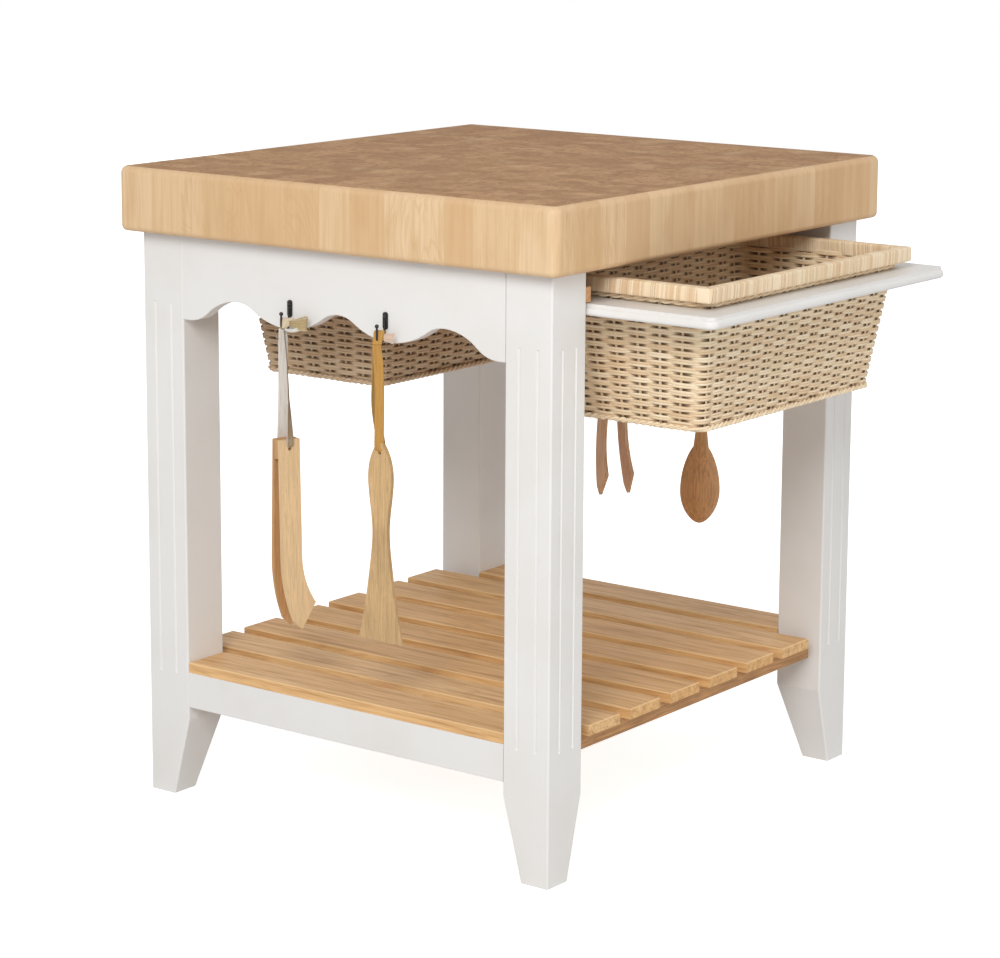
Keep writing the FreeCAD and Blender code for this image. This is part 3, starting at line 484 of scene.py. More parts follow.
def tube_rings(centre, first, second, half_first, half_second, sides, swell=1.0):
    """Rings of an elliptical tube: centre + (first cos(a) half_first + second sin(a) half_second)
    swell, where second x first runs along the tube."""
    halves = [np.broadcast_to(half, centre.shape[:-1]) for half in (half_first, half_second)]
    near = np.multiply.outer(halves[0], np.cos(circle(sides))) * swell
    far = np.multiply.outer(halves[1], np.sin(circle(sides))) * swell
    return (centre[..., None, :] + near[..., None] * first[..., None, :]
            + far[..., None] * second[..., None, :])


def tube_faces(strands, samples, sides, closed=False):
    """The faces of many tubes whose points are numbered strand by strand, then ring by ring. A tube
    that isn't closed on itself gets a face over each end."""
    down = np.arange(samples if closed else samples - 1)[:, None]
    over = np.arange(sides)[None, :]
    below, beside = (down + 1) % samples, (over + 1) % sides
    corners = [down * sides + over, below * sides + over, below * sides + beside, down * sides + beside]
    one = np.stack(np.broadcast_arrays(*corners), -1).reshape(-1, 4)
    starts = np.arange(strands)[:, None] * samples * sides
    quads = (starts[:, :, None] + one).reshape(-1, 4)
    if closed:
        return quads
    first = starts + np.arange(sides)[None, :]
    last = first[:, ::-1] + (samples - 1) * sides
    return list(quads) + [list(map(int, ring)) for ring in np.concatenate([first, last])]


def new_piece(name, points, faces, material, body, slot, uv=None, **values):
    """A smooth-shaded mesh that rides on a body. Its values are spread over its points and kept as
    attributes."""
    mesh = bpy.data.meshes.new(name)
    mesh.from_pydata(points.reshape(-1, 3), [], faces)
    mesh.polygons.foreach_set("use_smooth", np.ones(len(mesh.polygons), bool))
    for attribute, numbers in values.items():
        spread = np.broadcast_to(numbers, points.shape[:-1]).astype(np.float32)
        mesh.attributes.new(attribute, "FLOAT", "POINT").data.foreach_set("value", spread.ravel())
    if uv is not None:
        corners = np.empty(len(mesh.loops), np.int32)
        mesh.loops.foreach_get("vertex_index", corners)
        flat = uv.reshape(-1, 2).astype(np.float32)[corners]
        mesh.uv_layers.new(name="cloth").data.foreach_set("uv", flat.ravel())
    mesh.materials.append(material)
    mesh.update()
    piece = bpy.data.objects.new(name, mesh)
    bpy.context.scene.collection.objects.link(piece)
    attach(piece, body)
    return piece


def nodes(starts=(), ends=()):
    """The names of the CAD nodes that start or end in one of these ways."""
    return sorted(name for name in frame["nodes"] if name.startswith(starts) or name.endswith(ends))


def dress(material, *names):
    """Gives CAD nodes a finish."""
    for name in names:
        node = frame["nodes"][name]
        if not node.material_slots:
            node.data.materials.append(material)
        for material_slot in node.material_slots:
            material_slot.material = material


def node_box(name):
    low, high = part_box(name)
    return np.array(low), np.array(high)


# ---- baskets ---------------------------------------------------------------------------------
class Outline:
    """A rounded rectangle that widens with height. Its place runs from 0 to total: so many steps
    along each straight side and one step round each corner, which may take in the end of a side."""

    def __init__(self, low, high, radius, flare, pitches, ease=0.0):
        self.low, self.high, self.radius, self.flare = low, high, radius, flare
        straight = (high - low)[:2] - 2 * radius - flare
        counts = [max(1, round((size - 2 * end) / pitch))
                  for size, pitch, end in zip(straight, pitches, (ease, 0))]
        self.steps = np.array([counts[0], 1, counts[1], 1] * 2)
        self.starts = np.concatenate([[0], np.cumsum(self.steps)])
        self.total = int(self.starts[-1])
        arc = radius * pi / 2
        self.ease = np.array([ease / straight[0], 0, ease / straight[0], 0])
        self.bend_from = np.array([ease, 0, ease, 0]) / (ease + arc)
        self.bend_to = self.bend_from + arc / (ease + arc)

    def at(self, place, z, inset):
        """Points and outward normals at a place, at height z and this far inside the outer face.

        The middle of a corner's arc lies one radius inside both sides. On a side that middle moves
        evenly from one corner to the next. A corner's step first finishes its own side, then turns
        the normal a quarter turn evenly, then begins the next side."""
        place, z, inset = np.broadcast_arrays(place % self.total, z, inset)
        pull = self.flare * (self.high[2] - z) / (self.high[2] - self.low[2])
        index = np.clip(np.searchsorted(self.starts, place, side="right") - 1, 0, 7)
        share = (place - self.starts[index]) / self.steps[index]
        ahead = index // 2
        behind, after = (ahead + 3) % 4, (ahead + 1) % 4
        on_corner = index % 2 == 1
        start, stop = self.bend_from[ahead], self.bend_to[ahead]
        finish = np.clip(np.where(start > 0, share / np.maximum(start, 1e-9), 1), 0, 1)
        turned = np.clip((share - start) / (stop - start), 0, 1)
        begin = np.clip(np.where(stop < 1, (share - stop) / np.maximum(1 - stop, 1e-9), 0), 0, 1)
        end = self.ease[ahead]
        back = np.where(on_corner, end * (1 - finish), 1 - end - share * (1 - 2 * end))
        onward = np.where(on_corner, self.ease[after] * begin, 0)
        middle, half = (self.low + self.high) / 2, (self.high - self.low) / 2
        reach = [half[axis] - pull - self.radius for axis in (0, 1)]
        signs = np.array([[1, -1], [1, 1], [-1, 1], [-1, -1]])
        x, y = [reach[axis] * (signs[ahead, axis] + back * (signs[behind, axis] - signs[ahead, axis])
                               + onward * (signs[after, axis] - signs[ahead, axis]))
                for axis in (0, 1)]
        turn = (ahead - 1 + np.where(on_corner, turned, 0)) * (pi / 2)
        normal = np.stack([np.cos(turn), np.sin(turn), np.zeros_like(turn)], -1)
        centre = np.stack([middle[0] + x, middle[1] + y, z], -1)
        return centre + normal * (self.radius - inset)[..., None], normal


def smooth_random(rng, rows, total, places):
    """Random values from -1 to 1 that change smoothly along each row and close on themselves."""
    knots = rng.uniform(-1, 1, (rows, total))
    whole = np.floor(places).astype(int)
    part = places - whole
    part = part * part * (3 - 2 * part)
    return knots[:, whole % total] * (1 - part) + knots[:, (whole + 1) % total] * part


class Basket:
    """The cane of one basket, worked out from the boxes of its solid body, rim and band."""

    def __init__(self, side, sizes, material, rng):
        self.side, self.sizes, self.material, self.rng = side, sizes, material, rng
        self.low, self.high = node_box(side + "_basket_body")
        self.rim_low, self.rim_high = node_box(side + "_basket_rim")
        self.outline = Outline(self.low, self.high, sizes.corner, sizes.flare,
                               (sizes.short_pitch, sizes.long_pitch), sizes.corner_ease)

    def piece(self, name, points, faces, tone, recess):
        return new_piece(f"{self.side}_basket_{name}", points, faces, self.material,
                         self.side + "_drawer", "woven_cane", tone=tone, recess=recess)

    def tones(self, shape, middle, spread):
        return middle + spread * self.rng.uniform(-1, 1, shape)

    def wall(self):
        """Rows of cane round the basket, two strands to a row. At place p of row k both strands stand
        depth times swing outside the middle of the wall, where swing is cos(pi (p + k)) made a little
        squarer, so a row passes outside one stake and inside the next, and the row above does the
        opposite. The two strands of a row lie 0.26 rise above and below its middle, and spread to 0.33
        rise at each stake. The last rows run up into the rim. A point gets painted shade where it lies
        behind a stake, and a little towards a strand's upper and lower edges."""
        sizes, rng, total = self.sizes, self.rng, self.outline.total
        per_stake, sides = 6, 6
        top = self.rim_low[2] + sizes.lap
        rows = 2 * round((top - self.low[2]) / sizes.row_height / 2)
        rise = (top - self.low[2]) / rows
        places = np.arange(total * per_stake) / per_stake
        half_thick = sizes.strand / 2
        depth = sizes.wall / 2 - half_thick
        around = circle(sides)
        pieces = []
        for part, start in (("lower", 0), ("upper", rows // 2)):
            row = start + np.repeat(np.arange(rows // 2), 2)[:, None]
            side = np.tile([-1.0, 1.0], rows // 2)[:, None]
            wave = np.cos(pi * (places + row))
            swing = np.sign(wave) * np.abs(wave) ** 0.75
            spread = np.abs(swing)
            drift = np.repeat(smooth_random(rng, rows // 2, total, places), 2, axis=0)
            sway = smooth_random(rng, rows, total, places)
            z = self.low[2] + rise * (row + 0.5 + 0.08 * drift + side * (0.26 + 0.07 * spread))
            z = np.clip(z, self.low[2] + 0.3 * rise, top)
            centre, normal = self.outline.at(places, z, sizes.wall / 2 - depth * swing)
            half_high = rise * (0.36 + 0.035 * spread + 0.04 * sway)
            points = tube_rings(centre, normal, UP, half_thick, half_high, sides)
            tone = self.tones((rows, 1), 0.42, 0.28) + 0.18 * sway
            # Painted shade: darkest where a strand lies behind a stake, a little towards its upper and
            # lower edges.
            shade_where_hidden = 0.4 * np.sin(around) ** 2 - np.multiply.outer(swing, np.cos(around))
            pieces.append(self.piece("wall_" + part, points, tube_faces(rows, len(places), sides, True),
                                     tone[..., None], np.clip(shade_where_hidden, 0, 1)))
        return pieces

    def stakes(self):
        """Upright canes in the middle of the wall, each an ellipse carried up the slope of the wall."""
        total, levels, sides = self.outline.total, 9, 8
        heights = np.linspace(self.low[2] + 0.001, self.rim_low[2], levels)
        centre, normal = self.outline.at(np.arange(total)[:, None], heights, self.sizes.wall / 2)
        points = tube_rings(centre, normal, np.cross(normal, UP), self.sizes.stake_depth / 2,
                            self.sizes.stake / 2, sides)
        # The stakes' painted shade, 0.3, lies below where the cane begins to darken.
        return self.piece("stakes", points, tube_faces(total, levels, sides),
                          self.tones((total, 1, 1), 0.55, 0.4), 0.3)

    def floor(self):
        """A flat weave across the bottom: rows along Y whose height swings by cos(pi (p + k)) over and
        under where stakes would cross them."""
        sizes = self.sizes
        margin = sizes.flare + 0.002
        (x0, y0), (x1, y1) = self.low[:2] + margin, self.high[:2] - margin
        rows, count = int((x1 - x0) / sizes.row_height), int((y1 - y0) / sizes.long_pitch)
        per_stake, sides = 6, 6
        places = np.arange(count * per_stake + 1) / per_stake
        row = np.arange(rows)[:, None]
        swing = np.cos(pi * (places + row))
        rise = (x1 - x0) / rows
        sway = smooth_random(self.rng, rows, count + 2, places)
        x = x0 + rise * (row + 0.5 + 0.05 * sway)
        y = np.broadcast_to(y0 + places / count * (y1 - y0), swing.shape)
        z = self.low[2] + sizes.floor_lift + sizes.floor_swing * swing
        points = tube_rings(np.stack([x, y, z], -1), np.array([1.0, 0, 0]), UP,
                            rise * (0.54 + 0.12 * np.abs(swing)), sizes.strand / 2, sides)
        tone = self.tones((rows, 1), 0.45, 0.34) + 0.25 * sway
        # Painted shade where a floor strand dips under the next.
        shade_where_hidden = np.clip(-np.multiply.outer(swing, np.sin(circle(sides))), 0, 1)
        return self.piece("floor", points, tube_faces(rows, len(places), sides), tone[..., None], shade_where_hidden)

    def wrapped_rim(self):
        """Cane wound round a square core. The section is the curve (sign cos |cos a|^0.25, sign sin
        |sin a|^0.25), which is a square with small round corners. Carried round the rim it swells by
        bulge sin(pi f) ^ 0.5 in the middle of every turn, f being the share of the turn passed, and
        each turn leans a little along the rim."""
        sizes, rng = self.sizes, self.rng
        line = Outline(self.rim_low, self.rim_high, sizes.rim_corner, 0.0, (sizes.wrap_pitch,) * 2)
        turns, per_turn, sides = line.total, 5, 20
        jitter = rng.uniform(-0.2, 0.2, turns)
        share = np.broadcast_to(np.arange(per_turn) / per_turn, (turns, per_turn))
        places = np.arange(turns)[:, None] + share
        places = places + jitter[:, None] * (1 - share) + np.roll(jitter, -1)[:, None] * share
        share = share.ravel()
        bulge = 0.0004 * (np.sin(pi * share) ** 0.5 - 1)[:, None]
        turn = circle(sides) + pi / sides
        out, rise = [np.sign(part) * np.abs(part) ** 0.25 for part in (np.cos(turn), np.sin(turn))]
        half_wide, half_high = sizes.rim_width / 2, (self.rim_high - self.rim_low)[2] / 2
        inset = half_wide - out * (half_wide + bulge)
        points, _ = line.at(places.ravel()[:, None] + 0.25 * rise, self.rim_high[2], inset)
        points[..., 2] = self.rim_low[2] + half_high + rise * (half_high + bulge)
        tone = np.repeat(rng.uniform(0.1, 0.85, turns), per_turn)
        # Painted shade in the seam where each turn of cane meets the next, deeper at random.
        dark = np.repeat(rng.uniform(0, 1, turns) ** 4, per_turn)
        recess = (share == 0) * (0.55 + 0.4 * dark)
        return self.piece("wrapped_rim", points, tube_faces(1, turns * per_turn, sides, True),
                          tone[:, None], recess[:, None])

    def corner_folds(self):
        """Folded ends of cane, one on the rim's face beside each corner: a square cushion whose height
        is ((1 - |u|^8)(1 - |v|^8)) ^ 0.5 with five shallow ribs across it, and a flat back. It is made
        as a tube along u, whose rings run up its front and down its back."""
        sizes = self.sizes
        half_wide, half_high = sizes.fold / 2, (self.rim_high - self.rim_low)[2] / 2 * 0.94
        u, v = np.linspace(-1, 1, 21)[:, None], np.linspace(-1, 1, 13)
        cushion = ((1 - np.abs(u) ** 8) * (1 - np.abs(v) ** 8)) ** 0.5
        cushion = cushion * (1 - 0.12 * np.cos(5 * pi * u) ** 2)
        raised = (sizes.fold_front + sizes.fold_edge) * cushion - sizes.fold_edge
        depth = np.concatenate([raised, np.full_like(raised, -sizes.fold_back)], axis=1)
        z = (self.rim_low + self.rim_high)[2] / 2 + np.concatenate([v, v[::-1]]) * half_high
        folds = []
        for side_x, end in ((-1, self.rim_low), (1, self.rim_high)):
            for side_y, face in ((-1, self.rim_low), (1, self.rim_high)):
                x = end[0] - side_x * (half_wide + sizes.fold_inset) - side_y * u * half_wide
                folds.append(np.stack(np.broadcast_arrays(x, face[1] + side_y * depth, z), -1))
        tone = 0.05 + np.repeat(self.rng.uniform(0, 0.1, (4, 1, 2)), len(v), axis=2)
        # Painted shade in the grooves between the ribs.
        return self.piece("corner_folds", np.array(folds), tube_faces(4, len(u), 2 * len(v)), tone,
                          0.5 * np.cos(5 * pi * u) ** 8)

    def twisted_band(self, name, line, middle, radius, inset):
        """Two strands that wind round each other: each runs on an oval round the band's middle line,
        0.9 radius up and down and 0.5 radius in and out, half a turn from the other."""
        per_turn, sides = 8, 7
        turns = max(2, round(line.total / per_turn))
        total = turns * per_turn
        winding = 2 * pi * np.arange(total) / per_turn + np.array([[0], [pi]])
        places = np.arange(total) * line.total / total
        centre, normal = line.at(places, middle, inset - 0.5 * radius * np.cos(winding))
        centre[..., 2] = middle + 0.9 * radius * np.sin(winding)
        points = tube_rings(centre, normal, UP, 0.85 * radius, radius, sides)
        tone = 0.25 + 0.3 * smooth_random(self.rng, 2, turns, np.arange(total) / per_turn)
        # Painted shade where a strand turns in behind the other.
        recess = 0.55 * (1 - np.cos(winding)) / 2
        return self.piece(name, points, tube_faces(2, total, sides, True), tone[..., None],
                          recess[..., None])

    def bands(self):
        """A twisted band round the foot of the basket, and another under its rim."""
        sizes = self.sizes
        band_low, band_high = node_box(self.side + "_basket_band")
        line = Outline(band_low, band_high, sizes.corner + 0.004, 0.0, (sizes.foot_twist / 8,) * 2)
        foot = self.twisted_band("foot_band", line, band_low[2] + sizes.foot_lift, sizes.foot_radius,
                                 sizes.foot_inset)
        line = Outline(self.low, self.high, sizes.corner, sizes.flare, (sizes.neck_twist / 8,) * 2)
        neck = self.twisted_band("neck_band", line, self.rim_low[2] - sizes.neck_drop,
                                 sizes.neck_radius, -sizes.neck_stand)
        return foot, neck

    def weave(self):
        """Makes the whole basket, and says which pieces stand for its three solids."""
        lower, _ = self.wall()
        self.stakes()
        self.floor()
        rim = self.wrapped_rim()
        self.corner_folds()
        foot, _ = self.bands()
        return {"body": lower, "rim": rim, "band": foot}


# ---- ribbons ---------------------------------------------------------------------------------
def smooth_path(knots, count):
    """Points along the smooth curve through a few knots, evenly spread between them: each stretch is
    the cubic whose slopes at its ends are half the chords beside them."""
    knots = np.asarray(knots, float)
    slopes = np.gradient(knots, axis=0)
    at = np.linspace(0, len(knots) - 1, count)
    index = np.minimum(at.astype(int), len(knots) - 2)
    t = (at - index)[:, None]
    start, stop = knots[index], knots[index + 1]
    return ((2 * t ** 3 - 3 * t ** 2 + 1) * start + (t ** 3 - 2 * t ** 2 + t) * slopes[index]
            + (3 * t ** 2 - 2 * t ** 3) * stop + (t ** 3 - t ** 2) * slopes[index + 1])


def unit(vectors):
    return vectors / np.linalg.norm(vectors, axis=-1, keepdims=True)


class Strap:
    """The ribbon of one utensil. It is measured from the middle of its hook's bend: to the right, out
    from the apron, and up. Its own frame is turned as the utensil hangs: across it and in front."""

    def __init__(self, name, node, joint, turn, reach, foot, slot, sizes):
        places = {each["name"]: (each["pos_m"], each["child"]) for each in frame["joints"]
                  if each["type"] == "hinge"}
        hook, self.body = places[joint]
        self.name, self.slot, self.sizes, self.reach = name, slot, sizes, reach
        self.hook = np.array(hook)
        self.outward = np.array([0, np.sign(hook[1]), 0])
        self.foot = self.spot(foot)
        self.top = node_box(node)[1][2] - self.hook[2]
        self.across = np.array([cos(turn), sin(turn), 0])
        self.front = np.array([sin(turn), -cos(turn), 0])

    def spot(self, place):
        right, out, up = place
        return self.hook + np.array([right, 0, up]) + self.outward * out

    def tube(self, name, points, uv, border, material):
        levels, sides = points.shape[:2]
        uv = np.stack(np.broadcast_arrays(*uv), -1)
        return new_piece(f"{self.name}_{name}", points, tube_faces(1, levels, sides), material,
                         self.body, self.slot, uv=uv, border=border)

    def band(self, name, path, across, half, pleats, material):
        """A flat band: path + across u half + facing (h + pleats cos(3 pi u)), with u from -1 to 1 over
        its front and back again over its back, and h half its thickness in front and minus that
        behind."""
        half, pleats = [np.asarray(each, float)[:, None] for each in (half, pleats)]
        ahead = unit(np.gradient(path, axis=0))
        across = unit(across - ahead * np.sum(across * ahead, -1, keepdims=True))
        facing = np.cross(ahead, across)
        columns = 13
        u = np.concatenate([np.linspace(-1, 1, columns), np.linspace(1, -1, columns)])
        h = np.repeat([self.sizes.thickness / 2, -self.sizes.thickness / 2], columns)
        lift = h + pleats * np.cos(3 * pi * u)
        points = (path[:, None] + across[:, None] * (half * u)[..., None]
                  + facing[:, None] * lift[..., None])
        along = np.concatenate([[0], np.cumsum(np.linalg.norm(np.diff(path, axis=0), axis=1))])
        return self.tube(name, points, (half * u, along[:, None]), np.abs(u), material)

    def knot(self, top, wide, deep, waist, turn, material):
        """A knot round the lower part of the hook's bend, as a gathered fan: an oval tube up from its
        foot, turned about the upright, that widens from its waist with the power 0.6 of height, with
        folds that deepen upwards, drawn in at the very top."""
        levels, sides, folds, turn = 12, 54, 9, radians(turn)
        share, around = np.linspace(0, 1, levels), circle(sides)
        rise = self.spot(top) - self.foot
        grow = waist + (1 - waist) * share ** 0.6
        grow[-1] *= 0.8
        swell = 1 + np.outer(share, 0.16 * np.cos(folds * around))
        sideways, forward = np.array([[cos(turn), sin(turn), 0], [sin(turn), -cos(turn), 0]])
        points = tube_rings(self.foot + np.outer(share, rise), sideways, forward, wide * grow,
                            deep * grow, sides, swell)
        share = share[:, None]
        return self.tube("knot", points, (around * wide, share * rise[2]), share ** 12, material)

    def run(self, name, side, sway, angles, material):
        """A run of ribbon from the knot to the hole, in front of the utensil where side is 1 and behind
        it where side is -1. It swings across by sway midway, its width is turned from the utensil's by
        a few angles in degrees from top to bottom, and it is gathered where it enters the hole."""
        out, hole = side * self.reach, self.top - self.sizes.hole_inset
        places = np.array([(0.6 * sway, 0.45 * out, self.top * 0.33), (sway, 0.7 * out, self.top * 0.66),
                           (0.3 * sway, out, self.top), (0, out, hole + 0.004), (0, 0.4 * out, hole)])
        knots = self.hook + places @ np.array([self.across, self.front, UP])
        knots[0] += 0.25 * (self.foot - self.hook) * (1, 1, 0)
        path = smooth_path([self.foot + 0.0008 * side * self.front, *knots], 60)
        share = np.linspace(0, 1, len(path))
        turn = np.radians(np.interp(share, np.linspace(0, 1, len(angles)), angles))[:, None]
        full, drawn = self.sizes.width / 2, self.sizes.gathered / 2
        half = np.interp(share, (0, 0.1, 0.62, 0.8, 1), (0.9 * full, full, full, 0.8 * full, drawn))
        fold = np.interp(share, (0, 0.1, 0.6, 1), (0.0005, 0.0001, 0.0001, 0.0006))
        return self.band(name, path, np.cos(turn) * self.across + np.sin(turn) * self.front, half, fold,
                         material)

    def bow(self, place, out, height, material):
        """A bow's loop: it leaves the knot along one direction and comes back beside itself, narrow at
        the knot and as wide as its height at its far end."""
        share = np.linspace(0, 1, 44)
        reach, twist = np.sin(pi * share) ** 0.6, np.sin(2 * pi * share)
        path = (self.spot(place) + np.outer(reach * self.sizes.bow, out)
                + np.outer(0.0034 * twist, np.cross(UP, out))
                + np.outer(0.002 * reach + 0.0012 * twist, UP))
        return self.band("bow", path, UP + 0.15 * out, height / 2 * (0.4 + 0.6 * reach),
                         0.0005 * (1 - reach), material)

    def tail(self, name, places, half, material):
        """A loose end of ribbon through a few places given beside the hook."""
        path = smooth_path([self.spot(each) for each in places], 20)
        return self.band(name, path, np.array([0, 0.2, 1.0]), np.linspace(0.6 * half, half, len(path)),
                         np.linspace(0.0004, 0.0, len(path)), material)


# ---- operators -------------------------------------------------------------------------------
class CART_OT_top(bpy.types.Operator):
    """Finish the butcher block top"""
    bl_idname = "cart.top"
    bl_label = "Butcher block top"

    def execute(self, context):
        dress(butcher_block(context.scene.cart_colours), "butcher_block_top")
        return {"FINISHED"}


class CART_OT_painted(bpy.types.Operator):
    """Paint the legs, aprons, rails, blocks and trays"""
    bl_idname = "cart.painted"
    bl_label = "Painted frame"

    def execute(self, context):
        lengthwise = nodes(("scalloped_apron", "lower_rail", "corner_blocks"), ("near_rail", "far_rail"))
        boards = {"z": nodes(("leg_",)), "x": lengthwise, "y": nodes((), ("front_rail", "back_rail"))}
        for grain, names in boards.items():
            dress(painted_wood(context.scene.cart_colours, grain), *names)
        return {"FINISHED"}


class CART_OT_shelf(bpy.types.Operator):
    """Finish the oak slats and their bearers"""
    bl_idname = "cart.shelf"
    bl_label = "Shelf slats"

    def execute(self, context):
        colours, slats = context.scene.cart_colours, nodes(("shelf_slat_",))
        middles = [sum(node_box(name))[1] / 2 for name in slats]
        pitch = (middles[-1] - middles[0]) / (len(slats) - 1)
        dress(oak_slat(colours, pitch, middles[0]), *slats)
        dress(plain_wood("oak_bearer", colours.bearer, "y", 0.45), *nodes(("slat_bearer",)))
        return {"FINISHED"}


class CART_OT_runners(bpy.types.Operator):
    """Finish the bare runners, guides and stop"""
    bl_idname = "cart.runners"
    bl_label = "Drawer runners"

    def execute(self, context):
        beech = context.scene.cart_colours.beech
        dress(plain_wood("beech_runner", beech, "x"), *nodes(("drawer_runner", "drawer_guide")))
        dress(plain_wood("beech_stop", beech, "y"), "drawer_stop")
        return {"FINISHED"}


class CART_OT_baskets(bpy.types.Operator):
    """Weave the two baskets"""
    bl_idname = "cart.baskets"
    bl_label = "Woven baskets"

    def execute(self, context):
        scene = context.scene
        # The left basket gets a painted shade for the worktop above it, the right one none.
        for seed, side, worktop_shade in ((5, "right", 0.0), (6, "left", 0.5)):
            cane = woven_cane(side + "_woven_cane", scene.cart_colours, worktop_shade)
            basket = Basket(side, scene.cart_baskets, cane, np.random.default_rng(seed))
            for solid, piece in basket.weave().items():
                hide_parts(f"{side}_basket_{solid}")
        return {"FINISHED"}


class CART_OT_hardware(bpy.types.Operator):
    """Finish the hooks and the screws"""
    bl_idname = "cart.hardware"
    bl_label = "Hooks and screws"

    def execute(self, context):
        dress(dark_iron(context.scene.cart_colours), *nodes(("hook_",)))
        dress(plated_steel(), "top_screws", "shelf_screws")
        return {"FINISHED"}


class CART_OT_utensils(bpy.types.Operator):
    """Finish the spatula, the spoon and both pairs of tongs"""
    bl_idname = "cart.utensils"
    bl_label = "Utensils"

    def execute(self, context):
        finishes = (("spatula", 0.4, 420.0, ("spatula",)),
                    ("near_leaf", 0.25, 420.0, ("front_tongs_near_leaf",)),
                    ("far_leaf", 0.3, 420.0, ("front_tongs_far_leaf", "front_tongs_wedge")),
                    ("back_tongs", 0.35, 300.0,
                     ("back_tongs_near_leaf", "back_tongs_far_leaf", "back_tongs_wedge")),
                    ("spoon", 0.4, 300.0, ("spoon",)))
        for name, contrast, scale, parts in finishes:
            tone = getattr(context.scene.cart_colours, name)
            dress(plain_wood(name + "_wood", tone, "z", contrast, scale), *parts)
        return {"FINISHED"}


class CART_OT_ribbons(bpy.types.Operator):
    """Tie the ribbons that the utensils hang from"""
    bl_idname = "cart.ribbons"
    bl_label = "Ribbons"

    def execute(self, context):
        tones, sizes = context.scene.cart_colours, context.scene.cart_ribbons
        pale = cotton_ribbon("pale_ribbon", tones.ribbon, tones.ribbon)
        dim = cotton_ribbon("shaded_ribbon", tones.ribbon_back, tones.ribbon)
        cream = cotton_ribbon("cream_ribbon", tones.ribbon_knot, tones.ribbon)
        lining = cotton_ribbon("bow_lining", tones.ribbon_lining, tones.ribbon_knot)
        lace = cotton_ribbon("lace", tones.lace, tones.lace)
        lace_back = cotton_ribbon("lace_back", tones.lace_back, tones.lace)
        lace_end = cotton_ribbon("lace_end", tones.lace_end, tones.ribbon)

        strap = Strap("front_tongs_ribbon", "front_tongs_near_leaf", "front_tongs_swing", radians(72),
                      0.0112, (0.0020, 0.0062, -0.0050), "cotton_ribbon", sizes)
        far = strap.run("far_run", -1, 0, (35, 35, 35, 20, 0, 0), pale)
        strap.run("near_run", 1, 0, (-55, -55, -50, -10, 0, 0), dim)
        strap.knot((0.0065, 0.0010, 0.0092), 0.0104, sizes.knot_depth, 0.34, 20, cream)
        strap.bow((0.0140, 0.0068, 0.003), np.array([0.995, 0.1, 0]), 0.0190, lining)
        strap.tail("tail", ((0.006, 0.0085, -0.0055), (0.020, 0.0095, -0.0060), (0.037, 0.0060, -0.001)),
                   0.0030, pale)
        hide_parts("front_tongs_strap")

        strap = Strap("spatula_lace", "spatula", "spatula_swing", 0, 0.0038, (0, 0.0080, -0.0095),
                      "tan_leather", sizes)
        near = strap.run("near_run", 1, 0, (-37, -37, -37, -34, -15, 0), lace)
        strap.run("far_run", -1, -0.0105, (-37, -30, -20, -10, 0, 0), lace_back)
        strap.knot((0, 0.0024, 0.0092), 0.0066, 0.0018, 0.96, 37, lace)
        strap.tail("end", ((0.009, 0.0045, 0.001), (0.018, 0.0045, 0.001), (0.0265, 0.0045, 0.001)),
                   0.0078, lace_end)
        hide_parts("spatula_strap")

        for name, node, turn, reach in (("back_tongs", "back_tongs_near_leaf", -34, 0.0118),
                                        ("spoon", "spoon", 217, 0.0073)):
            strap = Strap(name + "_ribbon", node, name + "_swing", radians(turn), reach,
                          (0, 0.0075, -0.0080), "cotton_ribbon", sizes)
            near = strap.run("near_run", 1, 0, (0, 8, 12, 6, 0, 0), pale)
            strap.run("far_run", -1, -0.003, (0, -10, -14, -8, 0, 0), dim)
            strap.knot((0, 0.0015, 0.0070), 0.0080, sizes.knot_depth, 0.5, 0, cream)
            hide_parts(name + "_strap")
        return {"FINISHED"}


# each lamp's place, diameter and power
LAMPS = {"key": ((2.1, -4.3, 3.4), 2.6, 160), "fill": ((4.6, 0.6, 1.6), 3.0, 28)}


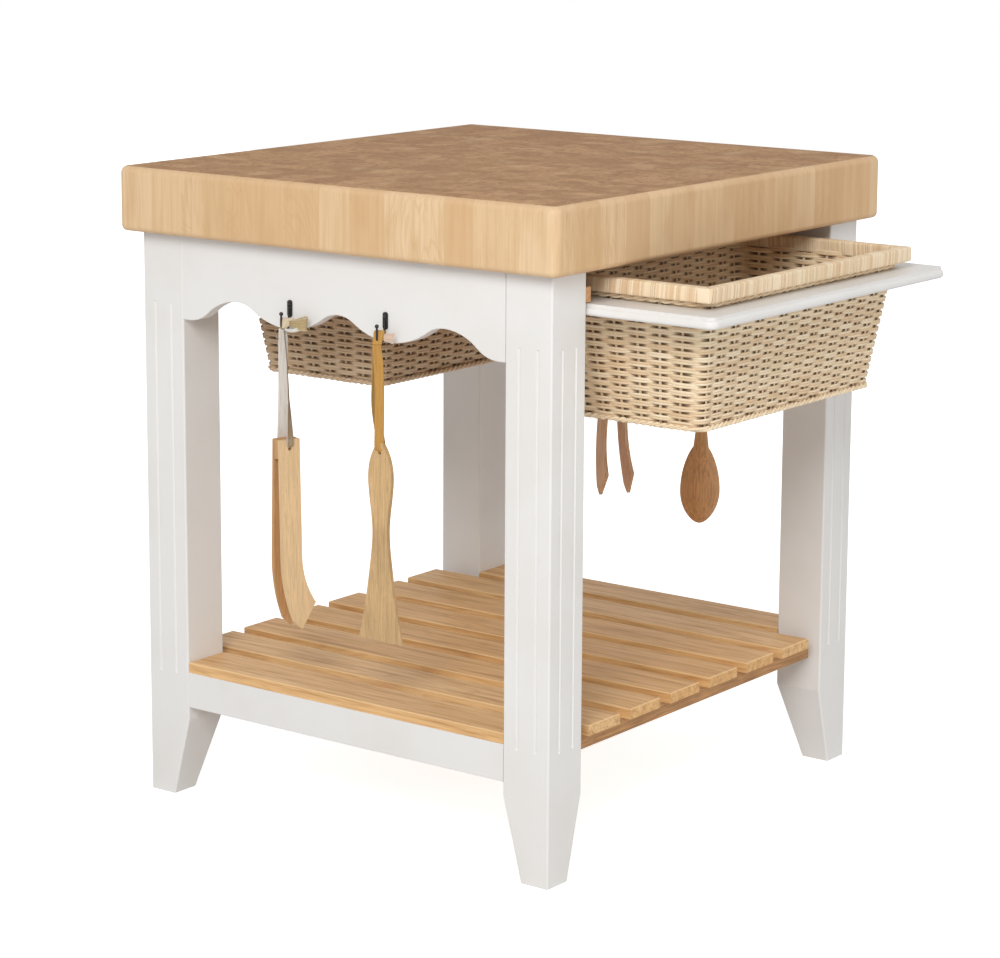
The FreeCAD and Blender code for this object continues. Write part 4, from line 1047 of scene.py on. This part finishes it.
class CART_OT_stage(bpy.types.Operator):
    """Set up the floor, the lamps, the background and the camera"""
    bl_idname = "cart.stage"
    bl_label = "Studio"

    def execute(self, context):
        scene, sizes = context.scene, context.scene.cart_stage
        scene.view_settings.view_transform = "Standard"
        self.floor(scene, sizes)
        self.background(scene, sizes)
        for name, (place, size, power) in LAMPS.items():
            self.lamp(scene, name, place, size, power)
        self.camera(scene, sizes)
        return {"FINISHED"}

    def floor(self, scene, sizes):
        turn = circle(96)
        points = np.stack([np.cos(turn), np.sin(turn), np.zeros_like(turn)], -1) * sizes.floor
        mesh = bpy.data.meshes.new("floor")
        mesh.from_pydata(points, [], [list(range(len(points)))])
        finish = Finish("pale_floor", 0.9, Emission_Color=(1, 1, 1, 1))
        seen = finish.add("LightPath").outputs["Is Camera Ray"]
        away = finish.add("VectorMath", {"operation": "LENGTH"}, Vector=finish.place).outputs["Value"]
        glow = finish.times(seen, finish.ramp(away, 0.6, 2.4, sizes.floor_near, sizes.floor_far))
        finish.feed(finish.shader.inputs["Emission Strength"], glow)
        mesh.materials.append(finish.done(tint(236, 236, 236)))
        floor = bpy.data.objects.new("floor", mesh)
        scene.collection.objects.link(floor)
        floor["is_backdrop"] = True

    def background(self, scene, sizes):
        """White where it is seen straight, in a reflection or through glass, and dimmer as light."""
        world = bpy.data.worlds.new("studio")
        world.use_nodes = True
        scene.world = world
        tree = world.node_tree
        shade = tree.nodes["Background"]
        shade.inputs["Color"].default_value = (1, 1, 1, 1)
        path = tree.nodes.new("ShaderNodeLightPath")
        seen = path.outputs["Is Camera Ray"]
        for ray in ("Is Glossy Ray", "Is Transmission Ray"):
            either = tree.nodes.new("ShaderNodeMath")
            either.operation = "MAXIMUM"
            tree.links.new(seen, either.inputs[0])
            tree.links.new(path.outputs[ray], either.inputs[1])
            seen = either.outputs[0]
        strength = tree.nodes.new("ShaderNodeMapRange")
        tree.links.new(seen, strength.inputs["Value"])
        strength.inputs["To Min"].default_value = sizes.ambient
        strength.inputs["To Max"].default_value = 1.0
        tree.links.new(strength.outputs[0], shade.inputs["Strength"])

    def lamp(self, scene, name, place, size, power):
        light = bpy.data.lights.new(name, "AREA")
        light.shape, light.size, light.energy = "DISK", size, power
        lamp = bpy.data.objects.new(name, light)
        lamp.location = place
        toward = Vector((0, 0, 0.5)) - Vector(place)
        lamp.rotation_euler = toward.to_track_quat("-Z", "Y").to_euler()
        scene.collection.objects.link(lamp)

    def camera(self, scene, sizes):
        lens = bpy.data.cameras.new("camera")
        lens.lens = sizes.lens * 1000
        lens.shift_y = sizes.shift
        camera = bpy.data.objects.new("camera", lens)
        turn, tilt = sizes.azimuth, sizes.elevation
        back = Vector((sin(turn) * cos(tilt), -cos(turn) * cos(tilt), sin(tilt)))
        right = Vector((cos(turn), sin(turn), 0))
        up = back.cross(right)
        axes = Matrix((right, up, back)).transposed().to_4x4()
        place = back * sizes.distance + right * sizes.aim_side + Vector((0, 0, sizes.aim_height))
        camera.matrix_world = Matrix.Translation(place) @ axes @ Matrix.Rotation(sizes.roll, 4, "Z")
        scene.collection.objects.link(camera)
        scene.camera = camera


OPERATORS = (CART_OT_top, CART_OT_painted, CART_OT_shelf, CART_OT_runners, CART_OT_baskets,
             CART_OT_hardware, CART_OT_utensils, CART_OT_ribbons, CART_OT_stage)


class CART_PT_panel(bpy.types.Panel):
    """Every step of the cart's looks"""
    bl_idname = "CART_PT_panel"
    bl_label = "Kitchen island cart"
    bl_space_type = "VIEW_3D"
    bl_region_type = "UI"
    bl_category = "Cart"

    def draw(self, context):
        for operator in OPERATORS:
            self.layout.operator(operator.bl_idname)


GROUPS = {"cart_colours": CartColours, "cart_baskets": BasketSizes, "cart_ribbons": RibbonSizes,
          "cart_stage": StageSizes}


def register():
    for piece in (*GROUPS.values(), *OPERATORS, CART_PT_panel):
        bpy.utils.register_class(piece)
    for name, group in GROUPS.items():
        setattr(bpy.types.Scene, name, bpy.props.PointerProperty(type=group))


def unregister():
    for name in GROUPS:
        delattr(bpy.types.Scene, name)
    for piece in reversed((*GROUPS.values(), *OPERATORS, CART_PT_panel)):
        bpy.utils.unregister_class(piece)


def main():
    register()
    for operator in OPERATORS:
        group, action = operator.bl_idname.split(".")
        getattr(getattr(bpy.ops, group), action)()
    boxes = {"cad": CAD_BOX, "visual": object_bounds()}
    boxes = {name: [[float(part) for part in corner] for corner in box] for name, box in boxes.items()}


if __name__ == "__main__":
    main()
